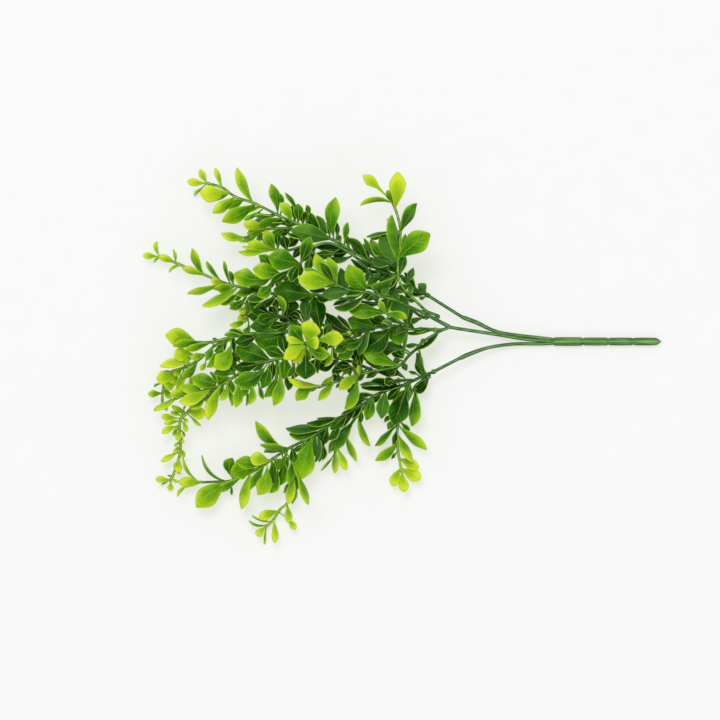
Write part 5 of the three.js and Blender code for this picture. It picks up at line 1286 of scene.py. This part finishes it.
def twig_material(name, stops, grooving=0.0):
    """Twigs have painted shade on their sides and a painted highlight along their middle, and the stalk has
    a groove at each side of that middle.
    """
    shader = Shader(name)
    across, _, age, tone, _ = leaf_coordinates(shader)
    aside = shader.math("ABSOLUTE", across)
    # Painted shade on a twig's flanks and a painted highlight along its middle, as light from above would
    # give.
    sides = shader.smooth(aside, *TWIG_SIDE_SHADE)
    top_highlight = shader.smooth(aside, *TOP_HIGHLIGHT)
    off_groove = shader.math("ABSOLUTE", shader.math("SUBTRACT", aside, GROOVE_PLACE))
    grooves = shader.smooth(off_groove, 0.0, GROOVE_WIDTH, grooving, 0.0)
    streaks = shader.noise(STREAK_SCALE, 3.0, STREAK_STRETCH)
    mottle = shader.noise(TWIG_MOTTLE_SCALE, 3.0)
    shade = shader.total(
        age,
        (mottle, 0.5),
        (streaks, 1.3),
        (shader.math("SUBTRACT", tone, MIDDLE_TONE), 0.1),
        (sides, -0.42),
        (top_highlight, 0.22),
        (grooves, -0.42),
    )
    roughness = shader.total((mottle, 0.3), (streaks, 0.15))
    relief = shader.total((streaks, 1.0), (mottle, 0.8), (grooves, -1.0))
    shader.surface({
        "Base Color": shader.ramp(shade, stops),
        "Roughness": shader.math("ADD", roughness, TWIG_ROUGHNESS, clamp=True),
        "Normal": shader.bump(relief, TWIG_RELIEF),
        **TWIG_SURFACE,
    })
    return shader.material


# ---------------------------------------------------------------- the pieces

SLOTS = {part["node"]: part["material_slot"] for part in frame["record"]["subparts"]}
FOLIAGE_SLOTS = ("foliage", "young_foliage")


def layout_origin():
    """Where the layout's origin lies in the frame: worked out from the stalk's pointed end."""
    corners = [vertex.co / MM for vertex in frame["nodes"]["stalk"].data.vertices]
    end = max(corner.x for corner in corners)
    across = [corner.y for corner in corners if corner.x > end - STALK_END_DEPTH]
    return Vector((end - STALK_TIP, (min(across) + max(across)) / 2 - STALK_Y, 0))


LAYOUT_ORIGIN = layout_origin()


def node_corners(node):
    """The corners of one of the frame's nodes, in the layout, to be searched by place."""
    vertices = frame["nodes"][node].data.vertices
    tree = KDTree(len(vertices))
    for i, vertex in enumerate(vertices):
        tree.insert(vertex.co / MM - LAYOUT_ORIGIN, i)
    tree.balance()
    return tree


def twig_ages(spray, path):
    """How old a twig looks at its start and at its end: as its first and its last leaves do."""
    if not spray["leaves"]:
        return WHORL_AGE, WHORL_AGE
    rows = sorted(spray["leaves"], key=lambda row: nearest_on_path(path, Vector((*row[:2], 0)), False))
    third = max(1, len(rows) // 3)
    first, last = rows[:third], rows[-third:]
    return sum(row[5] for row in first) / third, sum(row[5] for row in last) / third


def add_twig(piece, spray, path, leaves, tone):
    """A twig that gets slimmer towards its end, and swells a little where a leaf grows from it."""
    old, young = TWIG_RADIUS * FINE_TWIG, TWIG_END_RADIUS * FINE_TWIG
    start_age, end_age = twig_ages(spray, path)
    line = smooth_path(path, TWIG_SPACING)
    radii, ages, travelled = [], [], 0.0
    last_point = line[0][0]
    for point, share in line:
        travelled += (point - last_point).length
        last_point = point
        offsets = ((travelled - leaf.distance) / SWELLING_LENGTH for leaf in leaves)
        swelling = sum(math.exp(-(offset**2)) for offset in offsets)
        radii.append(old + (young - old) * share + SWELLING * min(swelling, 1))
        ages.append(start_age + (end_age - start_age) * share + outer_ripeness(point))
    add_tube(piece, [point for point, _ in line], radii, ages, TWIG_FINE_SIDES, TWIG, tone)
    add_collar(piece, path, start_age, tone)


def add_collar(piece, path, age, tone):
    """The short socket at a twig's start, with rounded edges and a waist."""
    start, along = path[0], (path[1] - path[0]).normalized()
    rings = [
        circle(start + along * COLLAR_LENGTH * share, along, COLLAR_RADIUS * width, COLLAR_FINE_SIDES)
        for share, width in COLLAR_PROFILE
    ]
    coordinates = [[(0.0, TWIG_MARK, age)] * len(ring) for ring in rings]
    piece.add_rings(rings, coordinates, tone, TWIG)


def make_spray(spray, path, materials, chance):
    """A twig with its leaves: those that the frame has, and those that it leaves off."""
    piece = Piece()
    corners = node_corners(spray["name"])
    leaves = spray_leaves(spray, path)
    add_twig(piece, spray, path, leaves, chance.random())
    for leaf in leaves:
        blade = find_blade(leaf, corners)
        if blade is not None:
            add_blade(piece, blade, leaf.look, chance)
    for i, row in enumerate(MORE_LEAVES.get(spray["name"], [])):
        leaf = leaf_from_row(row, i, path)
        add_blade(piece, posed(leaf, LOWER_POSE), leaf.look, chance)
    piece.finish(spray["name"] + "_fine", materials, spray["name"])


def stalk_profile():
    """The stalk's places and radii: barrel-shaped segments, a rounded notch between each two, a point."""
    profile = [(STALK_SEGMENTS[0][0] - STALK_OVERLAP, STALK_SEGMENTS[0][2] * STALK_START_WIDTH)]
    last_end, last_half = STALK_SEGMENTS[-1][1:]
    for start, end, half in STALK_SEGMENTS:
        for k in range(SEGMENT_STEPS + 1):
            share = k / SEGMENT_STEPS
            x = start + (end - start) * share
            edge = min(x - start, end - x)
            fullness = eased(min(max(edge / (NOTCH_ROUNDING * STALK_NOTCH_HALF), 0), 1))
            if end == last_end and share > 0.5:
                fullness = 1
            widest = half * (1 + SEGMENT_BULGE * math.sin(math.pi * share))
            profile.append((x, STALK_NOTCH_RADIUS + (widest - STALK_NOTCH_RADIUS) * fullness))
    for k in range(1, TIP_STEPS):
        share = k / TIP_STEPS
        profile.append((last_end + (STALK_TIP - last_end) * share, last_half * (1 - share**TIP_BLUNTNESS)))
    return profile


def add_stalk(piece, tone):
    ahead = Vector((1, 0, 0))
    axis = Vector((0, STALK_Y, STALK_SEGMENTS[0][2]))
    rings = [circle(axis + ahead * x, ahead, radius, STALK_FINE_SIDES) for x, radius in stalk_profile()]
    rings.append([axis + ahead * STALK_TIP])
    add_round_rings(piece, rings, [STALK_SHADE] * len(rings), STALK_FINE_SIDES, STALK, tone)


def stem_radius(points, point, share):
    """A stem's radius at a share of its points, slimmer beside the stalk's first notch."""
    place = share * (len(points) - 1)
    i = min(int(place), len(points) - 2)
    radius = points[i][3] + (points[i + 1][3] - points[i][3]) * eased(place - i)
    offset = (point.x - STALK_SEGMENTS[0][0]) / STALK_NOTCH_HALF
    return FINE_STEM * (1 - PINCH * math.exp(-(offset**2))) * radius


def make_stalk(material, chance):
    """The stalk, and the stems that fan out of it."""
    piece = Piece()
    add_stalk(piece, MIDDLE_TONE)
    for points in STEMS.values():
        line = smooth_path([Vector(point[:3]) for point in points], TWIG_SPACING)
        radii = [stem_radius(points, point, share) for point, share in line]
        ages = [STALK_SHADE - STEM_DARKENING * share for _, share in line]
        add_tube(piece, [point for point, _ in line], radii, ages, STEM_FINE_SIDES, STALK, chance.random())
    piece.finish("stalk_fine", [material], "stalk")


def paths_of(sprays):
    """The paths of all stems and twigs, by name. A twig comes after the one that carries it."""
    paths = {name: [Vector(point[:3]) for point in points] for name, points in STEMS.items()}
    for spray in sprays:
        carrier_radius = STEM_RADIUS if spray["on"] in STEMS else TWIG_RADIUS
        paths[spray["name"]] = seated_path(spray, paths[spray["on"]], carrier_radius)
    return paths


def make_bunch():
    chance = random.Random(SEED)
    paths = paths_of(SPRAYS)
    leaf_looks = {slot: leaf_material(slot + "_leaf") for slot in FOLIAGE_SLOTS}
    twig_looks = {slot: twig_material(slot + "_twig", TWIG_STOPS) for slot in FOLIAGE_SLOTS}
    make_stalk(twig_material("stalk_plastic", STALK_STOPS, STALK_GROOVING), chance)
    for spray in SPRAYS:
        slot = SLOTS[spray["name"]]
        make_spray(spray, paths[spray["name"]], [leaf_looks[slot], twig_looks[slot]], chance)


# ---------------------------------------------------------------- floor, light and camera

PICTURE_WIDTH = 486 * MM  # across the picture, at the height of REFERENCE_HEIGHT
REFERENCE_HEIGHT = 15 * MM
CAMERA_DISTANCE = 4.0
CAMERA_RANGE = 50
SENSOR = 36.0
FLOOR_SIZE = 12.0
FLOOR_DROP = 0.05 * MM
# The surface's colour is bluish and its painted glow yellowish: where it is lit it looks white, and its
# shadows look yellow-green.
FLOOR_STOPS = [(0.0, "9a95ab"), (1.0, "a09bb1")]
FLOOR_GRAIN_SCALE = 60
FLOOR_SURFACE_AND_GLOW = {
    "Roughness": 0.75,
    "Specular IOR Level": 0.2,
    "Emission Color": (0.96, 1, 0.82, 1),
    "Emission Strength": 0.62,  # painted light: the surface glows though it is no lamp, so that its shadows stay faint
}
SKY_STRENGTH = 0.62
LIGHTS = {  # place, size and power
    "key": ((-0.4, 0.8, 2.2), 1.0, 22),
    "fill": ((1.1, -0.9, 1.6), 1.4, 4),
}


def floor_material():
    shader = Shader("pale_surface")
    grain = shader.math("ADD", shader.noise(FLOOR_GRAIN_SCALE, 4.0), 0.5)
    # The surface gets its colour and its painted glow.
    shader.surface({"Base Color": shader.ramp(grain, FLOOR_STOPS), **FLOOR_SURFACE_AND_GLOW})
    return shader.material


def make_floor():
    half = FLOOR_SIZE / 2
    corners = [(-half, -half), (half, -half), (half, half), (-half, half)]
    mesh = bpy.data.meshes.new("surface")
    mesh.from_pydata([(x, y, -FLOOR_DROP) for x, y in corners], [], [(0, 1, 2, 3)])
    mesh.materials.append(floor_material())
    floor = bpy.data.objects.new("surface", mesh)
    bpy.context.scene.collection.objects.link(floor)


def make_light(name, place, size, power):
    """A round lamp that points at the frame's origin."""
    light = bpy.data.lights.new(name, "AREA")
    light.shape = "DISK"
    light.size = size
    light.energy = power
    lamp = bpy.data.objects.new(name, light)
    lamp.location = place
    lamp.rotation_euler = (-Vector(place)).to_track_quat("-Z", "Y").to_euler()
    bpy.context.scene.collection.objects.link(lamp)


def make_world(strength):
    world = bpy.data.worlds.new("studio")
    world.use_nodes = True
    background = world.node_tree.nodes["Background"]
    background.inputs["Color"].default_value = (1, 1, 1, 1)
    background.inputs["Strength"].default_value = strength
    bpy.context.scene.world = world


def make_camera():
    """A camera straight above the layout's origin."""
    data = bpy.data.cameras.new("camera")
    data.sensor_width = SENSOR
    data.lens = SENSOR * CAMERA_DISTANCE / PICTURE_WIDTH
    data.clip_end = CAMERA_RANGE
    camera = bpy.data.objects.new("camera", data)
    centre = LAYOUT_ORIGIN * MM
    camera.location = (centre.x, centre.y, REFERENCE_HEIGHT + CAMERA_DISTANCE)
    bpy.context.scene.collection.objects.link(camera)
    bpy.context.scene.camera = camera


make_bunch()
make_floor()
make_world(SKY_STRENGTH)
for name, (place, size, power) in LIGHTS.items():
    make_light(name, place, size, power)
make_camera()
bpy.context.scene.view_settings.view_transform = "Standard"
